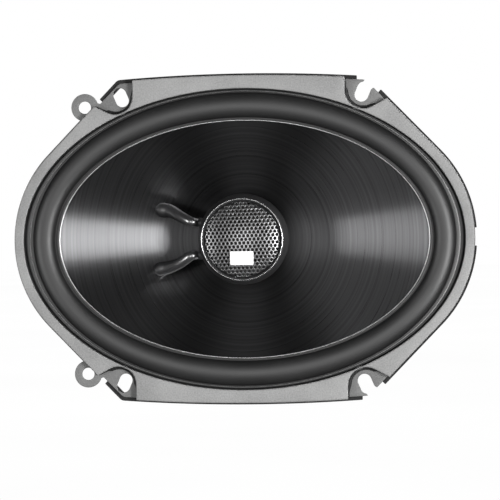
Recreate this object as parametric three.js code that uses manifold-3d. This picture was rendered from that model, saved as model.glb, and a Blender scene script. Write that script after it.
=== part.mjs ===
// Coaxial car loudspeaker on an oval flange for 6x8 and 5x7 inch panel holes.
//
// Millimetres. Each piece is drawn round the speaker's axis, which is +Z and points at the listener, with
// +X to the right and +Y up across the face. The finished group is then stood upright, so that the axis
// points along -Y, +X stays right and +Z is up. The origin is on the axis, in the gasket's rear face.

import * as THREE from "three";
import { mergeVertices } from "three/addons/utils/BufferGeometryUtils.js";
import Module from "manifold-3d";

const wasm = await Module();
wasm.setup();

// ---------------------------------------------------------------------------------------------------------
// Driving dimensions

const GAP = 0.3; // room left between two pieces that touch
const SHEET = 1.0; // pressed steel of the basket
const OVAL_SIDES = 44; // facets round the long oval pieces
const ROUND_SIDES = 32; // facets round the motor
const SMALL_SIDES = 24; // facets round the tweeter
const FAR = 30; // how far a long cutter runs past what it cuts
const PAST = 1; // how far a short cutter runs past what it cuts

const GASKET = { thickness: 2.0, width: 3.2, proud: 0.9, jointGap: 8 };
const JOINT = GASKET.jointGap / 2;
// Where the gasket's strips end: for each strip, the corners of an area that holds all of it and nothing else.
const STRIP_AREAS = {
  gasket_top: [[51, 95], [51, 50], [-45.5, 45], [-81, 80], [-81, 95]],
  gasket_bottom: [[52, -95], [52, -50], [-45.5, -46.5], [-81, -81.5], [-81, -95]],
  gasket_left: [[-110, 17], [-110, 25], [-85, 68], [-45, 24], [-45, -24], [-85, -68], [-110, -25]],
  gasket_right_upper: [[120, JOINT], [120, 60], [82, 86], [42, 46], [60, JOINT]],
  gasket_right_lower: [[120, -JOINT], [120, -60], [83, -86], [43, -46], [60, -JOINT]],
};

const FLANGE = {
  endCentre: 47.8, // the two end arcs' centres, either side of the axis
  endRadius: 55.5,
  endSweep: THREE.MathUtils.degToRad(44), // each end arc, either side of the long axis
  halfHeight: 73.7,
  crownRadius: 750, // slight crown of the top and bottom edges
  raise: 4.0, // height of the face above the screw pockets
};
const OPENING = [98.05, 66.7]; // semi-axes of the hole in the face
const LANDING = [93.6, 64.0]; // inner edge of the step that the surround is glued to

const FLOOR_BACK = GASKET.thickness + GAP;
const FLOOR_FRONT = FLOOR_BACK + SHEET;
const FACE_FRONT = FLOOR_FRONT + FLANGE.raise;

const POCKETS = [
  { side: -1, x: 56.4, y: 64.0, radius: 7.8 },
  { side: 1, x: 53.9, y: 65.2, radius: 8.0 },
];
const POCKET_TILT = THREE.MathUtils.degToRad(28);
const OVAL_SLOT = { x: -54.1, y: 63.7, radius: 2.9, length: 8.7, lean: THREE.MathUtils.degToRad(23) };
const OPEN_SLOT = {
  x: 53.0,
  y: 63.3,
  radius: 3.05,
  lean: THREE.MathUtils.degToRad(23),
  depth: 3.0,
  mouthRadius: 2.5,
  mouthLean: THREE.MathUtils.degToRad(48),
};
const EAR = { x: -70.45, y: 59.5, radius: 6.1, hole: 2.75, neck: 4.2, neckEnd: [-60, 63] };

const SKIRT_DEPTH = 7; // the deep wall behind the landing, before the spokes start
const SHELF = { outer: 46, inner: 38, front: -21.7 }; // ring that the spider is glued to
const BOTTOM = { outer: 36, hole: 20, front: -32.7 }; // plate that the motor is riveted to
const SPOKE = { width: 14, angles: [0, 52, 128, 180, 232, 308] };
const WINDOW = { rimX: 89.5, rimY: 60, hub: 49 };
const CORNER = { from: 44, to: 79, clear: 3 }; // the part of the flange drawn with each screw pocket

const CONE = { rim: [84.0, 53.6], edge: [82.2, 52.5], neck: 13.65, depth: 23.3, wall: 1.2 };
const ROLL = { outer: [94.3, 65.2], inner: [84.3, 53.9], rise: 4.0, wall: 0.8 };
const SURROUND_EDGE = [97.6, 66.3];
const SURROUND_LIP = [82.6, 52.9];
const SPIDER = { outer: 45.5, rollOuter: 35.0, rollInner: 15.6, rolls: 3, height: 1.1, wall: 0.5, drop: 2.0 };

const FORMER = { inner: 13.0, outer: 13.3, front: -19.0, back: -44.5 };
const WINDING = { inner: 13.5, outer: 14.1, height: 9.6 };
const POLE_RADIUS = 12.5;
const TOP_PLATE = { radius: 40, hole: 14.7, thickness: 5 };
const MAGNET = { radius: 45, hole: 20, thickness: 13 };
const BACK_PLATE = { radius: 40, thickness: 5 };
const BOOT = { wall: 1.5, height: 18 };
const RIVET = { circle: 28, shank: 1.8, head: 3.2, headHeight: 1.0, length: 4.0 };
const BOLT = { shank: 1.9, bore: 2.3, head: 3.6, headHeight: 2.9, counterbore: 4.2 };
const POST = { radius: 5.0, seat: 8.0, seatHeight: 2.5, seatRound: 1.0 };
const WASHER = { inner: 5.7, outer: 12.6, front: -19.3, thickness: 2.4 };

const TWEETER_BACK = -3.9; // rear face of the tweeter's housing on the speaker's axis
const POD = {
  front: 14.9,
  mouth: 18.0,
  belly: 20.2,
  bellyHeight: 9.0,
  bellyRound: [0.3, 1.6], // the belly's rounding: how far in and how far along the axis it starts
  foot: 9.0,
  footRound: [[14.5, 1.2], [18.4, 4.2]], // radius and height of the corners between the foot and the belly
  lip: [0.5, 0.6],
  wall: 1.5,
  floor: 2.0,
  floorRound: [3.0, 2.5],
};
const NUT = { acrossFlats: 7.0, height: 2.5 };
const CUP = { back: 5.1, floor: 1.4, outer: 12.6, inner: 10.9, rim: 11.4 };
const TWEETER_MAGNET = { radius: 8.8, thickness: 2.2 };
const TWEETER_POLE = { radius: 9.1 };
const TWEETER_COIL = { inner: 9.65, outer: 10.2, back: 8.6, front: 12.0 };
const TWEETER_FRAME = { inner: 11.3, outer: 16.0, thickness: 1.3 };
const DOME = { edge: 10.9, root: 9.6, rise: 3.1, wall: 0.4, steps: 4 };
const TWEETER_ROLL = { inner: 9.9, crest: 11.8, foot: 12.7, outer: 14.3, rise: 0.7 };
const BEZEL = { inner: 17.3, outer: 18.2, back: 15.2, front: 17.2 };
const GRILLE = { radius: 17.0, back: 16.0, rise: 2.0, wall: 0.5 };
const BADGE = { width: 10.4, height: 6.1, thickness: 0.6, drop: 8.2, clear: 0.36 };
const CAPACITOR = { width: 7, height: 2.4, depth: 5, reach: 15.4 };

const EYELETS = [
  { name: "upper", x: -36, y: 12.4, podX: -19.4, podY: 7.6 },
  { name: "lower", x: -37, y: -13.2, podX: -19.6, podY: -6.8 },
];
const EYELET = { shank: 1.0, hole: 1.3, flange: 2.2, flangeHeight: 0.6 };
const TWEETER_LEAD = { radius: 1.9, footClear: 0.4, stand: 3.2, arch: 4.4, podEnd: 6.5, steps: 14 };
const TINSEL = { radius: 0.9, sag: 3.4, steps: 14 };
const LEADOUT = { radius: 0.4, steps: 6 };

const BOARD = { along: 12, across: 38, thickness: 1.4, standoff: 1.6, x: -66 };
const BOARD_RIVET = { y: 4, shank: 1.4, hole: 1.7, head: 2.6, headHeight: 1.0, reach: 6 };
const TABS = [
  { name: "positive", side: 1, width: 6.3 },
  { name: "negative", side: -1, width: 4.8 },
];
const TAB = {
  from: 9.5,
  to: 28,
  thickness: 0.8,
  stubY: 13,
  stub: 1.2,
  stubHole: 1.5,
  stubHead: 2.2,
  stubHeadHeight: 0.8,
};
const SMALL_HOLE_SIDES = 14;

// ---------------------------------------------------------------------------------------------------------
// Materials

function material(colour, roughness, metalness) {
  return new THREE.MeshStandardMaterial({ color: colour, roughness, metalness });
}

const MATERIAL = {
  paintedSteel: material(0xb9bab9, 0.5, 0.6),
  foam: material(0x151515, 0.95, 0),
  rubber: material(0x1c1c1e, 0.6, 0),
  cone: material(0x2a2a2c, 0.3, 0.7),
  cloth: material(0xb98b3c, 0.9, 0),
  former: material(0x8a5a24, 0.5, 0.2),
  copper: material(0xa65a2a, 0.35, 0.9),
  steel: material(0x9fa1a3, 0.4, 0.9),
  ferrite: material(0x2c2c2e, 0.7, 0.1),
  blackPlastic: material(0x1e1e20, 0.45, 0),
  chrome: material(0xd2d3d4, 0.15, 1),
  mesh: material(0x6d6e70, 0.35, 0.8),
  silk: material(0x24211f, 0.8, 0),
  neodymium: material(0xb4b5b6, 0.3, 1),
  sleeve: material(0x101012, 0.2, 0),
  brass: material(0xb08d45, 0.3, 0.9),
  board: material(0x6b4a2c, 0.8, 0),
};

// ---------------------------------------------------------------------------------------------------------
// Solids and booleans

// A closed geometry as a manifold solid, turned right side out.
function solidOf(geometry) {
  const bare = geometry.index ? geometry.toNonIndexed() : geometry.clone();
  bare.deleteAttribute("normal");
  bare.deleteAttribute("uv");
  const merged = mergeVertices(bare, 1e-4);
  const corners = merged.index.array;
  const triVerts = [];
  for (let i = 0; i < corners.length; i += 3) {
    const [a, b, c] = [corners[i], corners[i + 1], corners[i + 2]];
    if (a !== b && b !== c && c !== a) triVerts.push(a, b, c);
  }
  const vertProperties = merged.attributes.position.array;
  const build = (order) =>
    new wasm.Manifold(new wasm.Mesh({ numProp: 3, vertProperties, triVerts: new Uint32Array(order) }));
  const made = build(triVerts);
  return made.volume() < 0 ? build([...triVerts].reverse()) : made;
}

function geometryOf(solid) {
  const mesh = solid.getMesh();
  const geometry = new THREE.BufferGeometry();
  geometry.setAttribute("position", new THREE.BufferAttribute(new Float32Array(mesh.vertProperties), 3));
  geometry.setIndex(new THREE.BufferAttribute(new Uint32Array(mesh.triVerts), 1));
  geometry.computeVertexNormals();
  return geometry;
}

function joined(solids) {
  return solids.reduce((whole, solid) => whole.add(solid));
}

// A flat shape raised from one height to another.
function prism(shape, back, front, curveSegments = 6) {
  const settings = { depth: front - back, bevelEnabled: false, curveSegments };
  return solidOf(new THREE.ExtrudeGeometry(shape, settings).translate(0, 0, back));
}

function ellipseShape([a, b]) {
  const shape = new THREE.Shape();
  shape.absellipse(0, 0, a, b, 0, 2 * Math.PI, false, 0);
  return shape;
}

function ellipsePrism(semiAxes, back, front) {
  return prism(ellipseShape(semiAxes), back, front, OVAL_SIDES / 2);
}

// A straight round rod along the axis, at (x, y).
function rod(radius, back, front, x = 0, y = 0, sides = 20) {
  const geometry = new THREE.CylinderGeometry(radius, radius, front - back, sides);
  geometry.rotateX(Math.PI / 2);
  return solidOf(geometry.translate(x, y, (front + back) / 2));
}

function block(width, height, depth, x = 0, y = 0, z = 0) {
  return solidOf(new THREE.BoxGeometry(width, height, depth).translate(x, y, z));
}

// A rounded bar in plan, from (x, y) for `length` at `lean` clockwise from straight up.
function slotPrism(x, y, radius, length, lean, back, front) {
  const bar = new THREE.Shape();
  bar.absarc(0, length, radius, 0, Math.PI, false);
  bar.absarc(0, 0, radius, Math.PI, 2 * Math.PI, false);
  bar.closePath();
  const settings = { depth: front - back, bevelEnabled: false, curveSegments: 6 };
  return solidOf(new THREE.ExtrudeGeometry(bar, settings).rotateZ(-lean).translate(x, y, back));
}

// A solid turned round the axis, from a profile of [radius, height] points.
function turned(profile, sides = ROUND_SIDES) {
  const onAxis = profile[0][0] === 0 && profile[profile.length - 1][0] === 0;
  const points = (onAxis ? profile : [...profile, profile[0]]).map(([r, z]) => new THREE.Vector2(r, z));
  return solidOf(new THREE.LatheGeometry(points, sides).rotateX(Math.PI / 2));
}

function ring(inner, outer, back, front, sides = ROUND_SIDES) {
  return turned([[inner, back], [outer, back], [outer, front], [inner, front]], sides);
}

// As turned, but each profile point is [semi-axis along x, semi-axis along y, height].
function ovalTurned(profile, sides = OVAL_SIDES) {
  const closed = [...profile, profile[0]];
  const geometry = new THREE.LatheGeometry(closed.map(([a, , z]) => new THREE.Vector2(a, z)), sides);
  geometry.rotateX(Math.PI / 2);
  const position = geometry.attributes.position;
  for (let i = 0; i < position.count; i++) {
    const [a, b] = closed[i % closed.length];
    position.setY(i, (position.getY(i) * b) / a);
  }
  return solidOf(geometry);
}

// A round lead along a smooth curve through the points.
function tube(points, radius, steps, sides = 8) {
  const path = new THREE.CatmullRomCurve3(points.map((p) => new THREE.Vector3(...p)));
  const section = new THREE.Shape();
  for (let i = 0; i < sides; i++) {
    const angle = (2 * Math.PI * i) / sides;
    const step = i ? "lineTo" : "moveTo";
    section[step](radius * Math.cos(angle), radius * Math.sin(angle));
  }
  return solidOf(new THREE.ExtrudeGeometry(section, { steps, extrudePath: path }));
}

// ---------------------------------------------------------------------------------------------------------
// Assembly helpers

const speaker = new THREE.Group();
const frontGroup = new THREE.Group();
const motorGroup = new THREE.Group();
const tweeterGroup = new THREE.Group();
const terminalGroup = new THREE.Group();
speaker.add(frontGroup, motorGroup, tweeterGroup, terminalGroup);
speaker.rotation.x = Math.PI / 2;

function addPiece(group, name, solid, look) {
  const mesh = new THREE.Mesh(geometryOf(solid), look);
  mesh.name = name;
  group.add(mesh);
  return mesh;
}

// ---------------------------------------------------------------------------------------------------------
// Flange outline and its corner pockets

// Outline of the flange seen from the front, grown outwards by `grow` from the gasket's edge.
function flangeOutline(grow) {
  const endRadius = FLANGE.endRadius + grow;
  const crownRadius = FLANGE.crownRadius + grow;
  const crownCentre = FLANGE.halfHeight - FLANGE.crownRadius;
  const [nx, ny] = [Math.cos(FLANGE.endSweep), Math.sin(FLANGE.endSweep)];
  // The straight side leaves the end arc square to (nx, ny) and runs to where it meets the crowned edge.
  const reach = FLANGE.endCentre * nx + endRadius - crownCentre * ny;
  const along = Math.sqrt(crownRadius ** 2 - reach ** 2);
  const crownSweep = Math.atan2(reach * nx - along * ny, reach * ny + along * nx);
  const shape = new THREE.Shape();
  const addArc = (x, y, radius, middle, sweep) =>
    shape.absarc(x, y, radius, middle - sweep, middle + sweep, false);
  addArc(FLANGE.endCentre, 0, endRadius, 0, FLANGE.endSweep);
  addArc(0, crownCentre, crownRadius, Math.PI / 2, crownSweep);
  addArc(-FLANGE.endCentre, 0, endRadius, Math.PI, FLANGE.endSweep);
  addArc(0, -crownCentre, crownRadius, -Math.PI / 2, crownSweep);
  shape.closePath();
  return shape;
}

// The four screw pockets: two tangents of a circle round the screw, open towards the corner of the flange.
function pockets(grow, back, front) {
  const solids = [];
  for (const { side, x, y, radius } of POCKETS) {
    const r = radius + grow;
    const reachX = x + r * Math.sin(POCKET_TILT) + FAR * Math.cos(POCKET_TILT);
    const plan = new THREE.Shape();
    plan.moveTo(x - r, y + FAR);
    plan.absarc(x, y, r, Math.PI, 1.5 * Math.PI + POCKET_TILT, false);
    plan.lineTo(reachX, y - r * Math.cos(POCKET_TILT) + FAR * Math.sin(POCKET_TILT));
    plan.lineTo(reachX, y + FAR);
    plan.closePath();
    const settings = { depth: front - back, bevelEnabled: false, curveSegments: 8 };
    for (const up of [1, -1]) {
      const geometry = new THREE.ExtrudeGeometry(plan, settings).scale(side, up, 1);
      solids.push(solidOf(geometry.translate(0, 0, back)));
    }
  }
  return joined(solids);
}

// Screw slots: closed ovals on the left, hooked and open to the corner on the right, and the ears' holes.
function screwSlots(back, front) {
  const solids = [];
  for (const up of [1, -1]) {
    const oval = OVAL_SLOT.length / 2 - OVAL_SLOT.radius;
    const lean = -OVAL_SLOT.lean * up;
    const startX = OVAL_SLOT.x - oval * Math.sin(lean);
    const startY = OVAL_SLOT.y * up - oval * Math.cos(lean);
    solids.push(slotPrism(startX, startY, OVAL_SLOT.radius, 2 * oval, lean, back, front));

    const { x, y, radius, depth, mouthRadius } = OPEN_SLOT;
    const heading = (angle) => (up > 0 ? angle : Math.PI - angle);
    const bendX = x + depth * Math.sin(OPEN_SLOT.lean);
    const bendY = up * (y + depth * Math.cos(OPEN_SLOT.lean));
    solids.push(slotPrism(x, up * y, radius, depth, heading(OPEN_SLOT.lean), back, front));
    solids.push(slotPrism(bendX, bendY, mouthRadius, FAR / 2, heading(OPEN_SLOT.mouthLean), back, front));

    solids.push(rod(EAR.hole, back, front, EAR.x, up * EAR.y));
  }
  return joined(solids);
}

// The two flat ears on the left, each with a neck that runs in under the raised face.
function ears() {
  const solids = [];
  for (const up of [1, -1]) {
    const [endX, endY] = [EAR.neckEnd[0], up * EAR.neckEnd[1]];
    const lean = Math.atan2(endX - EAR.x, endY - up * EAR.y);
    const length = Math.hypot(endX - EAR.x, endY - up * EAR.y);
    solids.push(rod(EAR.radius, FLOOR_BACK, FLOOR_FRONT, EAR.x, up * EAR.y, 28));
    solids.push(slotPrism(EAR.x, up * EAR.y, EAR.neck, length, lean, FLOOR_BACK, FLOOR_FRONT));
  }
  return joined(solids);
}

// ---------------------------------------------------------------------------------------------------------
// Basket: flange, landing, deep wall, spokes, spider shelf and bottom plate, all one pressing

const SKIRT_END = FLOOR_FRONT - SKIRT_DEPTH;
const SKIRT_TAPER = 1.0; // how much narrower the deep wall is at its back
const SPOKE_RISE = SKIRT_END - SHELF.front;
const SPOKE_RUN = LANDING[0] - SKIRT_TAPER - SHELF.outer;
const SPOKE_SLOPE = Math.atan2(SPOKE_RISE, SPOKE_RUN);

function flangePressing() {
  const [openX, openY] = OPENING;
  const outer = prism(flangeOutline(-GASKET.proud), FLOOR_BACK, FACE_FRONT);
  const hollow = prism(flangeOutline(-GASKET.proud - SHEET), FLOOR_BACK - PAST, FACE_FRONT - SHEET)
    .subtract(pockets(SHEET, FLOOR_BACK - 2 * PAST, FACE_FRONT))
    .subtract(ellipsePrism([openX + SHEET, openY + SHEET], FLOOR_BACK - 2 * PAST, FACE_FRONT));
  return outer
    .subtract(hollow)
    .subtract(pockets(0, FLOOR_FRONT, FACE_FRONT + PAST))
    .subtract(ellipsePrism(OPENING, FLOOR_FRONT, FACE_FRONT + PAST))
    .subtract(ellipsePrism(LANDING, FLOOR_BACK - PAST, FACE_FRONT))
    .add(ears())
    .subtract(screwSlots(FLOOR_BACK - PAST, FACE_FRONT + PAST));
}

function basketWall() {
  const [landX, landY] = LANDING;
  const overlap = 0.6; // the wall runs into the landing by this much, so that the two are one body
  const [inX, inY] = [landX - SKIRT_TAPER, landY - SKIRT_TAPER];
  return ovalTurned([
    [landX, landY, FLOOR_FRONT],
    [inX, inY, SKIRT_END],
    [SHELF.outer, SHELF.outer, SHELF.front],
    [SHELF.inner, SHELF.inner, SHELF.front],
    [BOTTOM.outer, BOTTOM.outer, BOTTOM.front],
    [BOTTOM.hole, BOTTOM.hole, BOTTOM.front],
    [BOTTOM.hole, BOTTOM.hole, BOTTOM.front - SHEET],
    [BOTTOM.outer + SHEET, BOTTOM.outer + SHEET, BOTTOM.front - SHEET],
    [SHELF.inner + SHEET, SHELF.inner + SHEET, SHELF.front - SHEET],
    [SHELF.outer + overlap, SHELF.outer + overlap, SHELF.front - SHEET],
    [inX + SHEET, inY + SHEET, SKIRT_END - SHEET],
    [landX + SHEET, landY + SHEET, FLOOR_BACK - 1],
    [landX + SHEET, landY + SHEET, FLOOR_FRONT],
  ]);
}

// Windows between the spokes, cut straight through from front to back.
function windows() {
  const [back, front] = [SHELF.front - 2 * SHEET, SKIRT_END - SHEET / 2];
  const opening = ellipsePrism([WINDOW.rimX, WINDOW.rimY], back, front);
  const hub = rod(WINDOW.hub, back - PAST, front + PAST, 0, 0, ROUND_SIDES);
  const bars = SPOKE.angles.map((degrees) => {
    const bar = new THREE.BoxGeometry(OPENING[0], SPOKE.width, front - back + 2 * PAST);
    bar.translate(OPENING[0] / 2, 0, (front + back) / 2);
    return solidOf(bar.rotateZ(THREE.MathUtils.degToRad(degrees)));
  });
  return opening.subtract(hub).subtract(joined(bars));
}

function rivetSpots() {
  return [0, 1, 2, 3].map((i) => {
    const angle = ((i + 0.5) * Math.PI) / 2;
    return [RIVET.circle * Math.cos(angle), RIVET.circle * Math.sin(angle)];
  });
}

function rivetHoles(back, front) {
  return joined(rivetSpots().map(([x, y]) => rod(RIVET.shank + GAP, back, front, x, y, 16)));
}

// Moves a solid drawn in the terminal board's own axes onto the left spoke: x outwards along the spoke, y up
// across it and z away from its back.
const BOARD_PLACE = new THREE.Matrix4().makeRotationY(Math.PI + SPOKE_SLOPE).setPosition(
  BOARD.x,
  0,
  SKIRT_END - SHEET - (LANDING[0] - SKIRT_TAPER + SHEET + BOARD.x) * Math.tan(SPOKE_SLOPE),
);

function boardRivetHoles() {
  const holes = [1, -1].map((up) => {
    const { hole: radius, reach, y } = BOARD_RIVET;
    const hole = new THREE.CylinderGeometry(radius, radius, reach, SMALL_HOLE_SIDES);
    hole.rotateX(Math.PI / 2).translate(0, up * y, 0);
    return solidOf(hole.applyMatrix4(BOARD_PLACE));
  });
  return joined(holes);
}

// The flange round one screw pocket, outside an oval that follows the opening.
function cornerArea(side, up, grow) {
  const { from, to, clear } = CORNER;
  const [back, front] = [-FAR, FACE_FRONT + FAR];
  const [width, height] = [to - from + 2 * grow, OPENING[1] + FAR];
  const [x, y, z] = [(side * (from + to)) / 2, (up * height) / 2, (front + back) / 2];
  const oval = OPENING.map((semiAxis) => semiAxis + clear - grow);
  return block(width, height, front - back, x, y, z)
    .subtract(ellipsePrism(oval, back - PAST, front + PAST));
}

// The pressing is drawn as six pieces: a corner of the flange round each screw pocket, the rim with the rest
// of the flange, the landing and the deep wall, and the spokes with the shelf and the motor's plate.
function buildBasket() {
  const basket = flangePressing()
    .add(basketWall())
    .subtract(windows())
    .subtract(rivetHoles(BOTTOM.front - 2 * SHEET, BOTTOM.front + SHEET))
    .subtract(boardRivetHoles());
  const [back, front] = [BOTTOM.front - FAR, FACE_FRONT + FAR];
  const seam = (grow) => ellipsePrism([WINDOW.rimX + grow, WINDOW.rimY + grow], back, front);
  addPiece(frontGroup, "basket_spokes", basket.intersect(seam(-GAP / 2)), MATERIAL.paintedSteel);

  let rim = basket.subtract(seam(GAP / 2));
  for (const [across, side] of [["left", -1], ["right", 1]]) {
    for (const [level, up] of [["upper", 1], ["lower", -1]]) {
      const corner = rim.intersect(cornerArea(side, up, -GAP / 2));
      addPiece(frontGroup, `basket_corner_${level}_${across}`, corner, MATERIAL.paintedSteel);
      rim = rim.subtract(cornerArea(side, up, GAP / 2));
    }
  }
  addPiece(frontGroup, "basket_rim", rim, MATERIAL.paintedSteel);
}

// Foam strips stuck behind the flange's edge, cut square where the screws and ears come through.
function buildGaskets() {
  const back = 0;
  const front = GASKET.thickness;
  const band = prism(flangeOutline(0), back, front)
    .subtract(prism(flangeOutline(-GASKET.width), back - PAST, front + PAST));
  for (const [name, corners] of Object.entries(STRIP_AREAS)) {
    const area = new THREE.Shape(corners.map(([x, y]) => new THREE.Vector2(x, y)));
    addPiece(frontGroup, name, band.intersect(prism(area, back - PAST, front + PAST)), MATERIAL.foam);
  }
}

// ---------------------------------------------------------------------------------------------------------
// Cone assembly: cone, surround, spider, former and winding

const RIM_FRONT = FLOOR_FRONT;

// Height of the cone's front surface over a point of the face.
function coneHeight(x, y) {
  const [edgeX, edgeY] = CONE.edge;
  let [low, high] = [0, 1];
  for (let i = 0; i < 40; i++) {
    const share = (low + high) / 2;
    const a = CONE.neck + (edgeX - CONE.neck) * share;
    const b = CONE.neck + (edgeY - CONE.neck) * share;
    if ((x / a) ** 2 + (y / b) ** 2 > 1) low = share;
    else high = share;
  }
  return RIM_FRONT - CONE.depth * (1 - low);
}

// The frame of an eyelet, with its own +Z square to the cone's front surface.
function eyeletPlace({ x, y }) {
  const step = 0.5;
  const slopeX = (coneHeight(x + step, y) - coneHeight(x - step, y)) / (2 * step);
  const slopeY = (coneHeight(x, y + step) - coneHeight(x, y - step)) / (2 * step);
  const normal = new THREE.Vector3(-slopeX, -slopeY, 1).normalize();
  const turn = new THREE.Quaternion().setFromUnitVectors(new THREE.Vector3(0, 0, 1), normal);
  const centre = new THREE.Vector3(x, y, coneHeight(x, y));
  return new THREE.Matrix4().compose(centre, turn, new THREE.Vector3(1, 1, 1));
}

function buildCone() {
  const [rimX, rimY] = CONE.rim;
  const [edgeX, edgeY] = CONE.edge;
  const neckFront = RIM_FRONT - CONE.depth;
  const flat = 1.0; // thickness of the flat rim
  const shell = ovalTurned([
    [CONE.neck, CONE.neck, neckFront],
    [edgeX, edgeY, RIM_FRONT],
    [rimX, rimY, RIM_FRONT],
    [rimX, rimY, RIM_FRONT - flat],
    [edgeX, edgeY, RIM_FRONT - CONE.wall],
    [CONE.neck, CONE.neck, neckFront - CONE.wall],
  ]);
  const holes = EYELETS.map((eyelet) => {
    const depth = 4 * CONE.wall;
    const hole = new THREE.CylinderGeometry(EYELET.hole, EYELET.hole, depth, SMALL_HOLE_SIDES);
    return solidOf(hole.rotateX(Math.PI / 2).applyMatrix4(eyeletPlace(eyelet)));
  });
  addPiece(frontGroup, "cone", shell.subtract(joined(holes)), MATERIAL.cone);
}

function buildEyelets() {
  const wallAcross = CONE.wall + GAP;
  for (const eyelet of EYELETS) {
    const half = EYELET.flangeHeight;
    const solid = turned(
      [
        [0, -wallAcross - half],
        [EYELET.flange, -wallAcross - half],
        [EYELET.flange, -wallAcross],
        [EYELET.shank, -wallAcross],
        [EYELET.shank, GAP],
        [EYELET.flange, GAP],
        [EYELET.flange, GAP + half],
        [0, GAP + half],
      ],
      SMALL_HOLE_SIDES,
    );
    const piece = addPiece(frontGroup, `cone_eyelet_${eyelet.name}`, solid, MATERIAL.brass);
    eyeletPlace(eyelet).decompose(piece.position, piece.quaternion, piece.scale);
  }
}

// Half-roll rubber surround, from the basket's landing to the cone's rim.
function buildSurround() {
  const lipBack = FLOOR_FRONT + GAP;
  const lipFront = lipBack + ROLL.wall;
  const [outerX, outerY] = ROLL.outer;
  const [innerX, innerY] = ROLL.inner;
  const [midX, midY] = [(outerX + innerX) / 2, (outerY + innerY) / 2];
  const [halfX, halfY] = [(outerX - innerX) / 2, (outerY - innerY) / 2];
  const roll = (shrink, base, steps, reverse) => {
    const points = [];
    for (let i = 0; i <= steps; i++) {
      const angle = (Math.PI * (reverse ? steps - i : i)) / steps;
      const [across, up] = [Math.cos(angle), Math.sin(angle)];
      points.push([
        midX + (halfX - shrink) * across,
        midY + (halfY - shrink) * across,
        base + (ROLL.rise - shrink / 2) * up,
      ]);
    }
    return points;
  };
  const profile = [
    [...SURROUND_EDGE, lipBack],
    [...SURROUND_EDGE, lipFront],
    ...roll(0, lipFront, 6, false),
    [...SURROUND_LIP, lipFront],
    [...SURROUND_LIP, lipBack],
    ...roll(ROLL.wall, lipBack, 5, true),
  ];
  addPiece(frontGroup, "surround", ovalTurned(profile), MATERIAL.rubber);
}

// Corrugated cloth spider: a flat collar at the former, rolls, and a flat edge on the basket's shelf.
function buildSpider() {
  const edgeBack = SHELF.front + GAP;
  const span = SPIDER.rollOuter - SPIDER.rollInner;
  const bends = 2 * SPIDER.rolls;
  const wave = [];
  for (let i = 0; i <= bends; i++) {
    const up = i % 2 ? 1 : -1;
    wave.push([SPIDER.rollInner + (span * i) / bends, edgeBack - SPIDER.drop + SPIDER.height * up]);
  }
  const under = [[FORMER.outer + GAP, edgeBack - SPIDER.drop], ...wave, [SPIDER.rollOuter + 2, edgeBack]];
  under.push([SPIDER.outer, edgeBack]);
  const over = under.map(([r, z]) => [r, z + SPIDER.wall]).reverse();
  addPiece(frontGroup, "spider", turned([...under, ...over]), MATERIAL.cloth);
}

function buildVoiceCoil() {
  const former = ring(FORMER.inner, FORMER.outer, FORMER.back, FORMER.front);
  addPiece(frontGroup, "voice_coil_former", former, MATERIAL.former);
  const centre = TOP_PLATE_FRONT - TOP_PLATE.thickness / 2;
  const [back, front] = [centre - WINDING.height / 2, centre + WINDING.height / 2];
  const winding = ring(WINDING.inner, WINDING.outer, back, front);
  addPiece(frontGroup, "voice_coil_winding", winding, MATERIAL.copper);
  const washer = ring(WASHER.inner, WASHER.outer, WASHER.front - WASHER.thickness, WASHER.front);
  addPiece(frontGroup, "dust_washer", washer, MATERIAL.foam);
}

// Wires from the winding up the back of the cone to the eyelets.
function buildLeadouts() {
  const clear = CONE.wall + LEADOUT.radius + 2 * GAP;
  const [eyeletClear, coilClear] = [EYELET.flange + 1, FORMER.outer + 1.4];
  const bends = 4;
  for (const { name, x, y } of EYELETS) {
    const reach = Math.hypot(x, y);
    const points = [];
    for (let i = 0; i <= bends; i++) {
      const share = 1 - eyeletClear / reach + ((coilClear + eyeletClear - reach) / reach) * (i / bends);
      points.push([x * share, y * share, coneHeight(x * share, y * share) - clear]);
    }
    const wire = tube(points, LEADOUT.radius, LEADOUT.steps, 6);
    addPiece(frontGroup, `coil_leadout_${name}`, wire, MATERIAL.copper);
  }
}

// Soft sleeved leads from the cone's eyelets to the tweeter's housing.
function buildTweeterLeads() {
  const { radius, footClear, stand, arch, podEnd, steps } = TWEETER_LEAD;
  for (const { name, x, y, podX, podY } of EYELETS) {
    const foot = coneHeight(x, y) + EYELET.flangeHeight + 2 * GAP + footClear;
    const end = TWEETER_BACK + podEnd;
    const points = [
      [x, y, foot],
      [x + footClear, y, foot + stand],
      [x * 0.88, y * 0.97, foot + 2 * stand],
      [(x + podX) / 2 - 1, (y + podY) / 2 + Math.sign(y) * footClear, (foot + end) / 2 + arch],
      [podX * 1.12, podY * 1.04, end + footClear],
      [podX * 1.02, podY, end],
    ];
    addPiece(frontGroup, `tweeter_lead_${name}`, tube(points, radius, steps), MATERIAL.sleeve);
  }
}

// ---------------------------------------------------------------------------------------------------------
// Motor

const TOP_PLATE_FRONT = BOTTOM.front - SHEET - GAP;
const MAGNET_FRONT = TOP_PLATE_FRONT - TOP_PLATE.thickness - GAP;
const BACK_PLATE_FRONT = MAGNET_FRONT - MAGNET.thickness - GAP;
const MOTOR_BACK = BACK_PLATE_FRONT - BACK_PLATE.thickness;

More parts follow.
